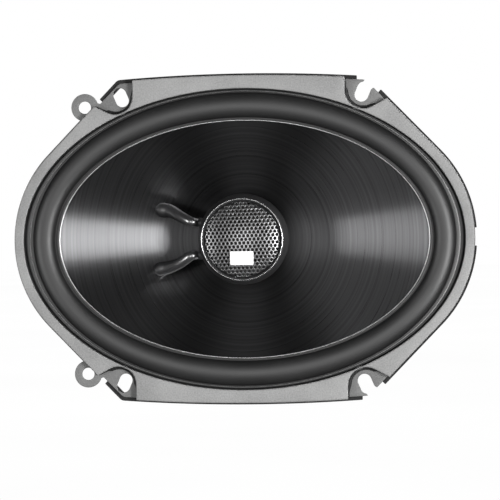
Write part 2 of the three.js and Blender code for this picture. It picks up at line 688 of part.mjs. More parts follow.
function buildMotor() {
  const plateBack = TOP_PLATE_FRONT - TOP_PLATE.thickness;
  const plate = ring(TOP_PLATE.hole, TOP_PLATE.radius, plateBack, TOP_PLATE_FRONT)
    .subtract(rivetHoles(TOP_PLATE_FRONT - RIVET.length, TOP_PLATE_FRONT + PAST));
  addPiece(motorGroup, "top_plate", plate, MATERIAL.steel);

  const magnet = ring(MAGNET.hole, MAGNET.radius, MAGNET_FRONT - MAGNET.thickness, MAGNET_FRONT);
  addPiece(motorGroup, "magnet", magnet, MATERIAL.ferrite);

  const boltSeat = MOTOR_BACK + BOLT.headHeight + 2 * GAP;
  const yoke = turned([
    [BOLT.bore, TOP_PLATE_FRONT],
    [BOLT.bore, boltSeat],
    [BOLT.counterbore, boltSeat],
    [BOLT.counterbore, MOTOR_BACK],
    [BACK_PLATE.radius, MOTOR_BACK],
    [BACK_PLATE.radius, BACK_PLATE_FRONT],
    [POLE_RADIUS, BACK_PLATE_FRONT],
    [POLE_RADIUS, TOP_PLATE_FRONT],
  ]);
  addPiece(motorGroup, "back_plate_and_pole", yoke, MATERIAL.steel);

  const bootBack = MOTOR_BACK - GAP - BOOT.wall;
  const bootOuter = MAGNET.radius + GAP + BOOT.wall;
  const boot = turned([
    [0, bootBack],
    [bootOuter, bootBack],
    [bootOuter, bootBack + BOOT.height],
    [bootOuter - BOOT.wall, bootBack + BOOT.height],
    [bootOuter - BOOT.wall, bootBack + BOOT.wall],
    [0, bootBack + BOOT.wall],
  ]);
  addPiece(motorGroup, "magnet_boot", boot, MATERIAL.rubber);

  rivetSpots().forEach(([x, y], i) => {
    const headBack = BOTTOM.front + GAP;
    const rivet = turned(
      [
        [0, TOP_PLATE_FRONT - RIVET.length + GAP],
        [RIVET.shank, TOP_PLATE_FRONT - RIVET.length + GAP],
        [RIVET.shank, headBack],
        [RIVET.head, headBack],
        [RIVET.head * 0.7, headBack + RIVET.headHeight],
        [0, headBack + RIVET.headHeight],
      ],
      16,
    );
    addPiece(motorGroup, `motor_rivet_${i + 1}`, rivet, MATERIAL.steel).position.set(x, y, 0);
  });
}

// Post that carries the tweeter through the cone's neck, and the bolt that clamps it all to the pole.
function buildTweeterPost() {
  const back = TOP_PLATE_FRONT + GAP;
  const front = TWEETER_BACK - GAP;
  const post = turned(
    [
      [BOLT.bore, back],
      [POST.radius, back],
      [POST.radius, front - POST.seatHeight],
      [POST.seat, front - POST.seatHeight + POST.seatRound],
      [POST.seat, front],
      [BOLT.bore, front],
    ],
    SMALL_SIDES,
  );
  addPiece(motorGroup, "tweeter_post", post, MATERIAL.blackPlastic);

  const headBack = MOTOR_BACK + GAP;
  const tip = TWEETER_BACK + CUP.back - GAP;
  const bolt = turned(
    [
      [0, headBack],
      [BOLT.head, headBack],
      [BOLT.head, headBack + BOLT.headHeight],
      [BOLT.shank, headBack + BOLT.headHeight],
      [BOLT.shank, tip],
      [0, tip],
    ],
    20,
  );
  addPiece(motorGroup, "tweeter_bolt", bolt, MATERIAL.steel);
}

// ---------------------------------------------------------------------------------------------------------
// Tweeter, drawn from the rear face of its housing

function buildHousing() {
  const { front, mouth, belly, bellyHeight, foot, footRound, wall, floor } = POD;
  const [bellyIn, bellyAlong] = POD.bellyRound;
  const [lipOut, lipAlong] = POD.lip;
  const [floorIn, floorAlong] = POD.floorRound;
  const inside = mouth - wall;
  const shell = turned(
    [
      [BOLT.bore, 0],
      [foot, 0],
      ...footRound,
      [belly - bellyIn, bellyHeight - bellyAlong],
      [belly, bellyHeight],
      [belly - bellyIn, bellyHeight + bellyAlong],
      [mouth + lipOut, front - lipAlong],
      [mouth, front],
      [inside, front],
      [inside, floor + floorAlong],
      [inside - floorIn, floor],
      [BOLT.bore, floor],
    ],
    SMALL_SIDES,
  );
  addPiece(tweeterGroup, "tweeter_housing", shell, MATERIAL.blackPlastic);
}

function buildTweeterMotor() {
  const nutOutline = new THREE.CylinderGeometry(NUT.acrossFlats / 2, NUT.acrossFlats / 2, NUT.height, 6);
  const nutBack = POD.floor + GAP;
  nutOutline.rotateX(Math.PI / 2).translate(0, 0, nutBack + NUT.height / 2);
  const nut = solidOf(nutOutline).subtract(rod(BOLT.bore, nutBack - PAST, nutBack + NUT.height + PAST));
  addPiece(tweeterGroup, "tweeter_nut", nut, MATERIAL.steel);

  const cup = turned(
    [
      [0, CUP.back],
      [CUP.outer, CUP.back],
      [CUP.outer, CUP.rim],
      [CUP.inner, CUP.rim],
      [CUP.inner, CUP.back + CUP.floor],
      [0, CUP.back + CUP.floor],
    ],
    SMALL_SIDES,
  );
  addPiece(tweeterGroup, "tweeter_cup", cup, MATERIAL.steel);

  const magnetBack = CUP.back + CUP.floor + GAP;
  const magnetFront = magnetBack + TWEETER_MAGNET.thickness;
  const magnet = rod(TWEETER_MAGNET.radius, magnetBack, magnetFront, 0, 0, SMALL_SIDES);
  addPiece(tweeterGroup, "tweeter_magnet", magnet, MATERIAL.neodymium);
  const pole = rod(TWEETER_POLE.radius, magnetFront + GAP, CUP.rim, 0, 0, SMALL_SIDES);
  addPiece(tweeterGroup, "tweeter_pole_plate", pole, MATERIAL.steel);

  const { inner, outer, back, front } = TWEETER_COIL;
  const coil = ring(inner, outer, back, front, SMALL_SIDES);
  addPiece(tweeterGroup, "tweeter_voice_coil", coil, MATERIAL.copper);

  const { width, height, depth, reach } = CAPACITOR;
  const capacitor = block(height, width, depth, reach - height / 2, 0, CUP.back + depth / 2);
  addPiece(tweeterGroup, "tweeter_capacitor", capacitor, MATERIAL.neodymium);
}

// A shallow cap of a sphere with a wall, from the axis out to `radius`.
function capProfile(radius, back, rise, wall, steps) {
  const sphere = (radius ** 2 + rise ** 2) / (2 * rise);
  const centre = back + rise - sphere;
  const under = [];
  for (let i = 0; i <= steps; i++) {
    const r = (radius * i) / steps;
    under.push([r, centre + Math.sqrt(sphere ** 2 - r ** 2)]);
  }
  const over = under.map(([r, z]) => [r, z + wall]).reverse();
  return [...under, ...over];
}

function buildTweeterFront() {
  const frameBack = CUP.rim + GAP;
  const frameFront = frameBack + TWEETER_FRAME.thickness;
  const frame = ring(TWEETER_FRAME.inner, TWEETER_FRAME.outer, frameBack, frameFront, SMALL_SIDES);
  addPiece(tweeterGroup, "tweeter_frame", frame, MATERIAL.blackPlastic);

  const domeBack = TWEETER_COIL.front + GAP;
  const cap = capProfile(DOME.root, domeBack, DOME.rise, DOME.wall, DOME.steps);
  const edge = [[DOME.edge, domeBack], [DOME.edge, domeBack + DOME.wall]];
  const dome = turned([...cap.slice(0, DOME.steps + 1), ...edge, ...cap.slice(DOME.steps + 1)], SMALL_SIDES);
  addPiece(tweeterGroup, "tweeter_dome", dome, MATERIAL.silk);

  const lip = domeBack + DOME.wall + GAP;
  const landing = frameFront + GAP;
  const { inner, crest, foot, outer, rise } = TWEETER_ROLL;
  const under = [
    [inner, lip],
    [DOME.edge, lip],
    [crest, landing + rise],
    [foot, landing],
    [outer, landing],
  ];
  const over = under.map(([r, z]) => [r, z + DOME.wall]).reverse();
  const surround = turned([...under, ...over], SMALL_SIDES);
  addPiece(tweeterGroup, "tweeter_surround", surround, MATERIAL.silk);

  const bezel = ring(BEZEL.inner, BEZEL.outer, BEZEL.back, BEZEL.front, SMALL_SIDES);
  addPiece(tweeterGroup, "tweeter_bezel", bezel, MATERIAL.chrome);
  const sheet = capProfile(GRILLE.radius, GRILLE.back, GRILLE.rise, GRILLE.wall, DOME.steps);
  const grille = turned(sheet, SMALL_SIDES);
  addPiece(tweeterGroup, "tweeter_grille", grille, MATERIAL.mesh);

  const sphere = (GRILLE.radius ** 2 + GRILLE.rise ** 2) / (2 * GRILLE.rise);
  const tilt = Math.asin(BADGE.drop / sphere);
  const crown = GRILLE.back + GRILLE.rise + GRILLE.wall;
  const badge = block(BADGE.width, BADGE.height, BADGE.thickness);
  const piece = addPiece(tweeterGroup, "tweeter_badge", badge, MATERIAL.chrome);
  const lift = BADGE.clear + BADGE.thickness / 2;
  piece.position.set(0, -BADGE.drop, crown - sphere * (1 - Math.cos(tilt)) + lift);
  piece.rotation.x = tilt;
}

// ---------------------------------------------------------------------------------------------------------
// Terminal board on the left spoke, drawn in its own axes

function buildTerminals() {
  const { along, across, thickness, standoff } = BOARD;
  const boardFront = standoff + thickness;
  const hole = (radius, y) => rod(radius, 0, BOARD_RIVET.reach, 0, y, SMALL_HOLE_SIDES);
  const holes = [
    ...TABS.map(({ side }) => hole(TAB.stubHole, side * TAB.stubY)),
    ...[1, -1].map((up) => hole(BOARD_RIVET.hole, up * BOARD_RIVET.y)),
  ];
  const board = block(along, across, thickness, 0, 0, standoff + thickness / 2).subtract(joined(holes));
  addPiece(terminalGroup, "terminal_board", board, MATERIAL.board);

  for (const { name, side, width } of TABS) {
    const length = TAB.to - TAB.from;
    const bladeMiddle = boardFront + GAP + TAB.thickness / 2;
    const headFront = standoff - GAP;
    const headBack = headFront - TAB.stubHeadHeight;
    const stubY = side * TAB.stubY;
    const blade = block(width, length, TAB.thickness, 0, side * (TAB.from + length / 2), bladeMiddle);
    const stub = rod(TAB.stub, headBack, bladeMiddle, 0, stubY, SMALL_HOLE_SIDES);
    const head = rod(TAB.stubHead, headBack, headFront, 0, stubY, SMALL_HOLE_SIDES);
    addPiece(terminalGroup, `terminal_${name}`, joined([blade, stub, head]), MATERIAL.brass);
  }

  for (const [name, up] of [["upper", 1], ["lower", -1]]) {
    const { shank, head, headHeight } = BOARD_RIVET;
    const inside = -SHEET - 3 * GAP; // clear of the spoke, which curves a little across its width
    const rivet = turned(
      [
        [0, inside - headHeight],
        [head, inside - headHeight],
        [head, inside],
        [shank, inside],
        [shank, 2 * GAP],
        [head, 2 * GAP],
        [head, standoff - GAP],
        [shank, standoff - GAP],
        [shank, boardFront + GAP],
        [head, boardFront + GAP],
        [head, boardFront + GAP + headHeight],
        [0, boardFront + GAP + headHeight],
      ],
      SMALL_HOLE_SIDES,
    );
    const piece = addPiece(terminalGroup, `board_rivet_${name}`, rivet, MATERIAL.steel);
    piece.position.y = up * BOARD_RIVET.y;
  }
  BOARD_PLACE.decompose(terminalGroup.position, terminalGroup.quaternion, terminalGroup.scale);
}

// Braided tinsel leads from the terminals, through the windows, to the backs of the cone's eyelets.
function buildTinselLeads() {
  TABS.forEach(({ side }, i) => {
    const { name, x, y } = EYELETS[i];
    const headBack = BOARD.standoff - GAP - TAB.stubHeadHeight;
    const start = new THREE.Vector3(0, side * TAB.stubY, headBack - 2 * GAP).applyMatrix4(BOARD_PLACE);
    const end = coneHeight(x, y) - CONE.wall - EYELET.flangeHeight - 4 * GAP;
    const points = [
      [start.x + 2 * GAP, start.y, start.z + 2 * GAP],
      [start.x + 4, start.y, start.z + GAP],
      [start.x + 11, start.y, start.z - 2.6],
      [x - 9, (start.y + y) / 2, end - TINSEL.sag],
      [x - 2.4, y, end - 2.2],
      [x - 0.8, y, end],
    ];
    const lead = tube(points, TINSEL.radius, TINSEL.steps);
    addPiece(frontGroup, `tinsel_lead_${name}`, lead, MATERIAL.copper);
  });
}

// ---------------------------------------------------------------------------------------------------------
// The whole speaker

buildBasket();
buildGaskets();
buildCone();
buildEyelets();
buildSurround();
buildSpider();
buildVoiceCoil();
buildLeadouts();
buildTweeterLeads();
buildMotor();
buildTweeterPost();
buildHousing();
buildTweeterMotor();
buildTweeterFront();
buildTerminals();
buildTinselLeads();
tweeterGroup.position.z = TWEETER_BACK;

export default speaker;
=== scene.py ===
from math import asin, atan2, ceil, copysign, cos, hypot, pi, radians, sin, sqrt, tan

import bmesh
import bpy
import numpy as np
from mathutils import Matrix, Vector
from mathutils.geometry import delaunay_2d_cdt


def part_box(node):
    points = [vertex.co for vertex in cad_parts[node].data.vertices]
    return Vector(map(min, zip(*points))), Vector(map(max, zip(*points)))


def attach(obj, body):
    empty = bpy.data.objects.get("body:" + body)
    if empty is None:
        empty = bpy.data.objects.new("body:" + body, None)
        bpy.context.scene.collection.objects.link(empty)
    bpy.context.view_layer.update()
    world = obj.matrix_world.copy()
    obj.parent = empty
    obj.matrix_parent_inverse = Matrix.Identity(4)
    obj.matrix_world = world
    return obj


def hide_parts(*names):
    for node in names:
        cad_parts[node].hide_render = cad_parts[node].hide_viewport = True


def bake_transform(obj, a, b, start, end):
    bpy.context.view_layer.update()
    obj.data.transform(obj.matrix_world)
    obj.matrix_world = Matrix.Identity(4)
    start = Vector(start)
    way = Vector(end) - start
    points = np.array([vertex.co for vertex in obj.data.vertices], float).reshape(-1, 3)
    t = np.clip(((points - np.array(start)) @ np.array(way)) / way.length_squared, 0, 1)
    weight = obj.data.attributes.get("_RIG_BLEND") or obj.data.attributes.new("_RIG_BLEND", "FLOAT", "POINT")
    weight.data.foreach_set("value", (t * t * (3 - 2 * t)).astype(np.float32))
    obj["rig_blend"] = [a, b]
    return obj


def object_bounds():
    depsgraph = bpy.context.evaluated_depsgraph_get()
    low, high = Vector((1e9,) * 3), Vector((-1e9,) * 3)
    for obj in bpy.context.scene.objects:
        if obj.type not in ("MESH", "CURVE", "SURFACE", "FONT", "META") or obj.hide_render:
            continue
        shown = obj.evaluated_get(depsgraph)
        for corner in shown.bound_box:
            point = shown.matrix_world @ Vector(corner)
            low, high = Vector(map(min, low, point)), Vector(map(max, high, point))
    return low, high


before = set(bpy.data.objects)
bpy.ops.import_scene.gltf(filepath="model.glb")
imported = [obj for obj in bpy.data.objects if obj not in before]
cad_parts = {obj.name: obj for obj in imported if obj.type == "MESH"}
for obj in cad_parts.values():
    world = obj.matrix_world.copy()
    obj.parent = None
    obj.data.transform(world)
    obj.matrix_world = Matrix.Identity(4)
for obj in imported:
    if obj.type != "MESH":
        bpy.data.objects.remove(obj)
CAD_LOW, CAD_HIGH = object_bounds()

# The speaker is drawn in its own axes, in millimetres: x to the right, y up across the face and z along its
# axis towards the listener. to_row turns a point into the frame's metres, where the axis points along -Y.

MM = 0.001
BODY_FRAME = "frame"
BODY_CONE = "cone_assembly"


def to_row(x, y, z):
    return Vector((x, -z, y)) * MM


def extent(node):
    """Lowest and highest corner of a CAD node in the speaker's own axes."""
    low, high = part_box(node)
    return (
        Vector((low[0], low[2], -high[1])) / MM,
        Vector((high[0], high[2], -low[1])) / MM,
    )


# ---- Sizes taken from the CAD nodes ----

GASKET_HIGH = extent("gasket_top")[1]
BASKET_LOW, BASKET_HIGH = extent("basket_spokes")[0], extent("basket_rim")[1]
SURROUND_HIGH = extent("surround")[1]
CONE_HIGH = extent("cone")[1]
POD_LOW, POD_HIGH = extent("tweeter_housing")
BEZEL_LOW, BEZEL_HIGH = extent("tweeter_bezel")
GRILLE_HIGH = extent("tweeter_grille")[1]
SPIDER_HIGH = extent("spider")[1]
PLATE_LOW, PLATE_HIGH = extent("top_plate")
MAGNET_LOW, MAGNET_HIGH = extent("magnet")
BOOT_LOW, BOOT_HIGH = extent("magnet_boot")

GAP = 0.3  # room between touching pieces
SHEET = 1.0  # the basket's steel
BEND = 0.75  # radius of the raised face's bent edges
SHADE_BELOW = 0.3  # the walls get painted shade from this far behind the face
POCKET_FOOT = 1.4  # how far a pocket's wall spreads at its foot
FLOOR_TUCK = 0.9  # how far a pocket's floor reaches under its wall
FLOOR_TRIM = 0.85  # how far it stays inside the flange's edge
FACE = BASKET_HIGH.z  # front of the raised face
FLOOR = GASKET_HIGH.z + GAP + SHEET  # front of the pockets' floors
BASKET_BACK = BASKET_LOW.z
CORNER_NODES = [
    f"basket_corner_{corner}" for corner in ("upper_left", "upper_right", "lower_left", "lower_right")
]

# Flange outline: two end arcs, straight slanted sides and slightly crowned long edges.
END_RADIUS = 55.5
END_CENTRE = -extent("gasket_left")[0].x - END_RADIUS
END_SWEEP = radians(44)
HALF_HEIGHT = GASKET_HIGH.y
CROWN_RADIUS = 750.0
GASKET_PROUD = HALF_HEIGHT - BASKET_HIGH.y
GASKET_WIDTH = 3.2

OPENING = (98.05, 66.7)
LANDING = (93.6, 64.0)
POCKET_TILT = radians(28)
POCKET_WAY = Vector((cos(POCKET_TILT), sin(POCKET_TILT)))
POCKETS = ((-1, 56.4, 64.0, 7.8), (1, 53.9, 65.2, 8.0))  # side, x, y, radius
OVAL_SLOT = (-54.1, 63.7, 2.9, 8.7)  # x, y, radius, length
SLOT_LEAN = radians(23)
OPEN_SLOT = (53.0, 63.3, 3.05, 3.0)  # x, y, radius, depth
MOUTH_RADIUS = 2.5
MOUTH_LEAN = radians(48)
EAR = (-70.45, 59.5, 6.1, 2.75)  # x, y, radius, hole
EAR_NECK = 3.5
EAR_ROOT = (-60.5, 56.5)

SKIRT_END = FLOOR - 7.0
SKIRT_TAPER = 1.0
SKIRT = (LANDING[0] - SKIRT_TAPER, LANDING[1] - SKIRT_TAPER)
SHELF = (46.0, 38.0, -21.7)  # outer, inner, front
BOTTOM = (36.0, 20.0, BASKET_BACK + SHEET)  # outer, hole, front
WINDOW_RIM = (89.5, 60.0)
WINDOW_HUB = 49.0
SPOKE_WIDTH = 14.0
RIB_DEPTH = 1.1
SPOKE_ANGLES = (0, 52, 128, 180, 232, 308)

CONE_EDGE = (82.2, 52.5)
CONE_NECK = 13.65
CONE_WALL = 1.2
CONE_DEPTH = 23.3
CONE_RIM_FRONT = CONE_HIGH.z

TWEETER_BACK = POD_LOW.z


# ---- Outlines in the plane of the face: lists of 2-D points, anticlockwise ----


def arc(centre, radius, start, end, step=radians(4)):
    count = max(2, ceil(abs(end - start) / step))
    points = []
    for i in range(count + 1):
        angle = start + (end - start) * i / count
        points.append(Vector((centre[0] + radius * cos(angle), centre[1] + radius * sin(angle))))
    return points


def heading(angle):
    """A step of length 1 at an angle."""
    return Vector((cos(angle), sin(angle)))


def ellipse(semi_axes, count=240):
    angles = [2 * pi * i / count for i in range(count)]
    return [Vector((semi_axes[0] * cos(a), semi_axes[1] * sin(a))) for a in angles]


def rectangle(half_width, half_height):
    signs = ((-1, -1), (1, -1), (1, 1), (-1, 1))
    return [Vector((half_width * across, half_height * up)) for across, up in signs]


def bar(start, lean, length, radius):
    """A round-ended slot from start, leaning clockwise from straight up."""
    ahead = Vector((sin(lean), cos(lean)))
    end = Vector(start) + ahead * length
    turn = -lean
    far_end = arc(end, radius, turn, turn + pi, 0.2)
    near_end = arc(start, radius, turn + pi, turn + 2 * pi, 0.2)
    return far_end + near_end


def flipped(outline, x=1, y=1):
    """The outline mirrored, kept anticlockwise."""
    points = [Vector((p.x * x, p.y * y)) for p in outline]
    return points if x * y > 0 else points[::-1]


def flange_outline(grow):
    """The flange's edge, moved outwards by grow."""
    end_radius = END_RADIUS + grow
    crown_radius = CROWN_RADIUS + grow
    crown_centre = HALF_HEIGHT - CROWN_RADIUS
    across, up = cos(END_SWEEP), sin(END_SWEEP)
    reach = END_CENTRE * across + end_radius - crown_centre * up
    along = sqrt(crown_radius**2 - reach**2)
    sweep = atan2(reach * across - along * up, reach * up + along * across)
    right_up = pi / 2
    points = arc((END_CENTRE, 0), end_radius, -END_SWEEP, END_SWEEP, radians(2))
    points += arc((0, crown_centre), crown_radius, right_up - sweep, right_up + sweep, 0.006)
    points += arc((-END_CENTRE, 0), end_radius, pi - END_SWEEP, pi + END_SWEEP, radians(2))
    points += arc((0, -crown_centre), crown_radius, -right_up - sweep, -right_up + sweep, 0.006)
    return rounded(points, 3.0)


def pocket_outlines(grow):
    """The four screw pockets, each open past the flange's edge."""
    outlines = []
    far = 40.0
    for side, x, y, radius in POCKETS:
        r = radius + grow
        turn = arc((x, y), r, pi, 1.5 * pi + POCKET_TILT)
        corner = turn[-1] + POCKET_WAY * far
        outline = [Vector((x - r, y + far)), *turn, corner, Vector((corner.x, y + far))]
        outlines += [flipped(outline, side, up) for up in (1, -1)]
    return outlines


def slot_outlines():
    """The screw slots and the ears' holes."""
    outlines = []
    x, y, radius, length = OVAL_SLOT
    half = length / 2 - radius
    start = (x + half * sin(SLOT_LEAN), y - half * cos(SLOT_LEAN))
    oval = bar(start, -SLOT_LEAN, 2 * half, radius)
    x, y, radius, depth = OPEN_SLOT
    inner = bar((x, y), SLOT_LEAN, depth, radius)
    bend = (x + depth * sin(SLOT_LEAN), y + depth * cos(SLOT_LEAN))
    mouth = bar(bend, MOUTH_LEAN, 15, MOUTH_RADIUS)
    ear_hole = arc(EAR[:2], EAR[3], 0, 2 * pi, 0.2)[:-1]
    for shape in (oval, inner, mouth, ear_hole):
        outlines += [flipped(shape, 1, up) for up in (1, -1)]
    return outlines


def ear_outlines():
    """The two ears, each a disc and a neck."""
    x, y, radius, _ = EAR
    across, up = EAR_ROOT[0] - x, EAR_ROOT[1] - y
    disc = arc((x, y), radius, 0, 2 * pi, 0.12)[:-1]
    neck = bar((x, y), atan2(across, up), hypot(across, up), EAR_NECK)
    return [flipped(shape, 1, side) for shape in (disc, neck) for side in (1, -1)]


def rounded(points, radius, closed=True):
    """The outline with each corner turned into an arc of at most that radius."""
    if radius <= 0:
        return [Vector(p) for p in points]
    out = []
    for i, here in enumerate(points):
        here = Vector(here)
        before = Vector(points[i - 1]) - here
        after = Vector(points[(i + 1) % len(points)]) - here
        is_end = not closed and i in (0, len(points) - 1)
        if is_end or before.length < 1e-6 or after.length < 1e-6:
            out.append(here)
            continue
        turn = pi - before.angle(after)
        if turn < radians(9) or turn > radians(172):
            out.append(here)
            continue
        u, v = before.normalized(), after.normalized()
        reach = min(radius * tan(turn / 2), 0.49 * before.length, 0.49 * after.length)
        tight = reach / tan(turn / 2)
        centre = here + (u + v).normalized() * (tight / cos(turn / 2))
        start, end = here + u * reach - centre, here + v * reach - centre
        steps = max(2, ceil(turn / radians(14)))
        for k in range(steps + 1):
            share = k / steps
            spoke = start * sin((1 - share) * turn) + end * sin(share * turn)
            out.append(centre + spoke / sin(turn))
    return out


def inset(outline, distance):
    """Each point moved to the left of the way the outline runs."""
    moved = []
    for i, here in enumerate(outline):
        before = (here - outline[i - 1]).normalized()
        after = (outline[(i + 1) % len(outline)] - here).normalized()
        left = Vector((-before.y - after.y, before.x + after.x))
        left /= max(left.length_squared / 2, 0.6)
        moved.append(here + left * distance)
    return moved


def inside(points, outline):
    """Which of the points lie inside the outline."""
    ring = np.array([tuple(p) for p in outline])
    ahead = np.roll(ring, -1, axis=0)
    x, y = points[:, :1], points[:, 1:]
    straddles = (ring[:, 1] > y) != (ahead[:, 1] > y)
    rise = np.where(ahead[:, 1] == ring[:, 1], 1e-12, ahead[:, 1] - ring[:, 1])
    crossing = ring[:, 0] + (y - ring[:, 1]) * (ahead[:, 0] - ring[:, 0]) / rise
    return (straddles & (x < crossing)).sum(axis=1) % 2 == 1


def triangulated(outlines, extra=()):
    """Points and anticlockwise triangles of a net that follows all the outlines."""
    points, edges = [], []
    for outline in outlines:
        base, count = len(points), len(outline)
        points += [Vector(p) for p in outline]
        edges += [(base + i, base + (i + 1) % count) for i in range(count)]
    points += [Vector(p) for p in extra]
    made, _, triangles, *_ = delaunay_2d_cdt(points, edges, [], 0, 1e-4)
    corners = np.array([tuple(p) for p in made])
    return corners, np.array([tuple(t) for t in triangles])


def combined(added, removed=(), within=(), corner=0.6):
    """Outlines of what lies in any added outline, in any of the within ones and in no removed one.

    Outer outlines run anticlockwise and holes clockwise.
    """
    corners, triangles = triangulated([*added, *removed, *within])
    centres = corners[triangles].mean(axis=1)
    keep = np.any([inside(centres, outline) for outline in added], axis=0)
    if within:
        keep &= np.any([inside(centres, outline) for outline in within], axis=0)
    for outline in removed:
        keep &= ~inside(centres, outline)
    edges = {(int(t[i]), int(t[(i + 1) % 3])) for t in triangles[keep] for i in range(3)}
    ahead = {a: b for a, b in edges if (b, a) not in edges}
    outlines = []
    while ahead:
        first, here = ahead.popitem()
        ring = [first]
        while here != first:
            ring.append(here)
            here = ahead.pop(here)
        points = []
        for i in ring:
            point = Vector(corners[i])
            if not points or (point - points[-1]).length > 0.08:
                points.append(point)
        if len(points) > 6:
            outlines.append(rounded(points, corner))
    return outlines


# ---- Meshes ----


def placed(name, data):
    """A new object in the scene."""
    obj = bpy.data.objects.new(name, data)
    bpy.context.scene.collection.objects.link(obj)
    return obj


def add(points, faces, more_points, more_faces):
    """Adds another net's points and faces to the lists."""
    base = len(points)
    points += more_points
    faces += [tuple(base + i for i in face) for face in more_faces]


def finished(name, net, look, nodes, sharp=32, body=BODY_FRAME):
    """A piece from (points, faces) in the speaker's own axes, riding on a body and standing for CAD nodes."""
    points, faces = net
    mesh = bpy.data.meshes.new(name)
    mesh.from_pydata([to_row(*p) for p in points], [], faces)
    shape = bmesh.new()
    shape.from_mesh(mesh)
    bmesh.ops.remove_doubles(shape, verts=shape.verts, dist=3e-6)
    bmesh.ops.dissolve_degenerate(shape, edges=shape.edges, dist=1e-6)
    loose = [v for v in shape.verts if not v.link_faces]
    bmesh.ops.delete(shape, geom=loose, context="VERTS")
    bmesh.ops.recalc_face_normals(shape, faces=shape.faces)
    shape.to_mesh(mesh)
    shape.free()
    mesh.shade_smooth()
    mesh.set_sharp_from_angle(angle=radians(sharp))
    mesh.materials.append(look)
    obj = placed(name, mesh)
    if body:
        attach(obj, body)
    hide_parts(*nodes)
    return obj


def quads(rows, count, closed_rows=False):
    """Faces between neighbouring rings of `count` points."""
    faces = []
    last = rows if closed_rows else rows - 1
    for row in range(last):
        below, above = row * count, ((row + 1) % rows) * count
        for i in range(count):
            j = (i + 1) % count
            faces.append((below + i, below + j, above + j, above + i))
    return faces


def oval_ring_points(profile, sides):
    """Rings through a profile of [semi-axis x, semi-axis y, z]."""
    points = []
    for a, b, z in profile:
        for i in range(sides):
            angle = 2 * pi * i / sides
            points.append((a * cos(angle), b * sin(angle), z))
    return points


def oval_solid(profile, sides=256):
    """A closed profile of [semi-axis x, semi-axis y, z] drawn round the axis."""
    return oval_ring_points(profile, sides), quads(len(profile), sides, closed_rows=True)


def turned(profile, sides, corner):
    """A closed profile of [radius, z] turned round the axis, with its corners rounded."""
    return oval_solid([(p.x, p.x, p.y) for p in rounded([Vector(p) for p in profile], corner)], sides)


def edge_rings(back, front, edge, steps=3):
    """(inset, height) pairs up the side of a plate whose edges are rounded."""
    rings = []
    for i in range(steps + 1):
        angle = pi / 2 * i / steps
        rings.append((edge * (1 - sin(angle)), back + edge * (1 - cos(angle))))
    for i in range(steps + 1):
        angle = pi / 2 * i / steps
        rings.append((edge * (1 - cos(angle)), front - edge * (1 - sin(angle))))
    return rings


def cap(outlines, height, extra=()):
    """A flat net inside the outlines."""
    corners, triangles = triangulated(outlines, extra)
    centres = corners[triangles].mean(axis=1)
    crossings = sum(inside(centres, outline).astype(int) for outline in outlines)
    keep = crossings % 2 == 1
    points = [(float(x), float(y), height) for x, y in corners]
    return points, [tuple(int(i) for i in t) for t in triangles[keep]]


def plate(outlines, back, front, edge):
    """A solid of the outlines' shape with rounded edges."""
    points, faces = [], []
    rings = edge_rings(back, front, edge)
    for outline in outlines:
        side = [(p.x, p.y, height) for distance, height in rings for p in inset(outline, distance)]
        add(points, faces, side, quads(len(rings), len(outline)))
    for height in (back, front):
        add(points, faces, *cap([inset(outline, edge) for outline in outlines], height))
    return points, faces


def spline(points, per_span):
    """Points along a smooth curve through the given ones."""
    rows = [Vector(p) for p in points]
    rows = [2 * rows[0] - rows[1], *rows, 2 * rows[-1] - rows[-2]]
    out = []
    for i in range(1, len(rows) - 2):
        a, b, c, d = rows[i - 1 : i + 3]
        for k in range(per_span):
            t = k / per_span
            squared = (2 * a - 5 * b + 4 * c - d) * t**2
            cubed = (3 * b - a - 3 * c + d) * t**3
            out.append(0.5 * (2 * b + (c - a) * t + squared + cubed))
    out.append(rows[-2])
    return out


def way_along(path, i):
    """Direction in which a path runs past its point i."""
    return (path[min(i + 1, len(path) - 1)] - path[max(i - 1, 0)]).normalized()


def tube(path, radii, sides):
    """A round tube along the path with a radius at each point, closed at both ends."""
    points, faces = [], []
    side = Vector((0, 1, 0))
    for i, here in enumerate(path):
        ahead = way_along(path, i)
        side = (side - ahead * side.dot(ahead)).normalized()
        other = ahead.cross(side)
        for k in range(sides):
            angle = 2 * pi * k / sides
            points.append(here + (side * cos(angle) + other * sin(angle)) * radii[i])
    faces += quads(len(path), sides)
    faces.append(tuple(range(sides)))
    faces.append(tuple(range(len(points) - sides, len(points))))
    return points, faces


def second_look(obj, look, wanted):
    """Gives another material to the faces whose points' heights pass the test."""
    obj.data.materials.append(look)
    for face in obj.data.polygons:
        if wanted([-obj.data.vertices[i].co.y / MM for i in face.vertices]):
            face.material_index = 1


def oval_share(x, y, inner, outer, rounds=24):
    """Where a point lies between two ovals: 0 on the inner one, 1 on the outer one."""
    low, high = 0.0, 1.0
    for _ in range(rounds):
        share = (low + high) / 2
        a = inner[0] + (outer[0] - inner[0]) * share
        b = inner[1] + (outer[1] - inner[1]) * share
        if (x / a) ** 2 + (y / b) ** 2 > 1:
            low = share
        else:
            high = share
    return low


def smooth(value, low, high):
    """0 below low, 1 above high and an even S between them."""
    share = max(0.0, min(1.0, (value - low) / (high - low)))
    return share * share * (3 - 2 * share)


def solidify(obj, thickness):
    """Gives a sheet its thickness behind its front skin."""
    skin = obj.modifiers.new("sheet", "SOLIDIFY")
    skin.thickness = thickness * MM
    skin.offset = -1
    skin.use_even_offset = False


# ---- Materials ----


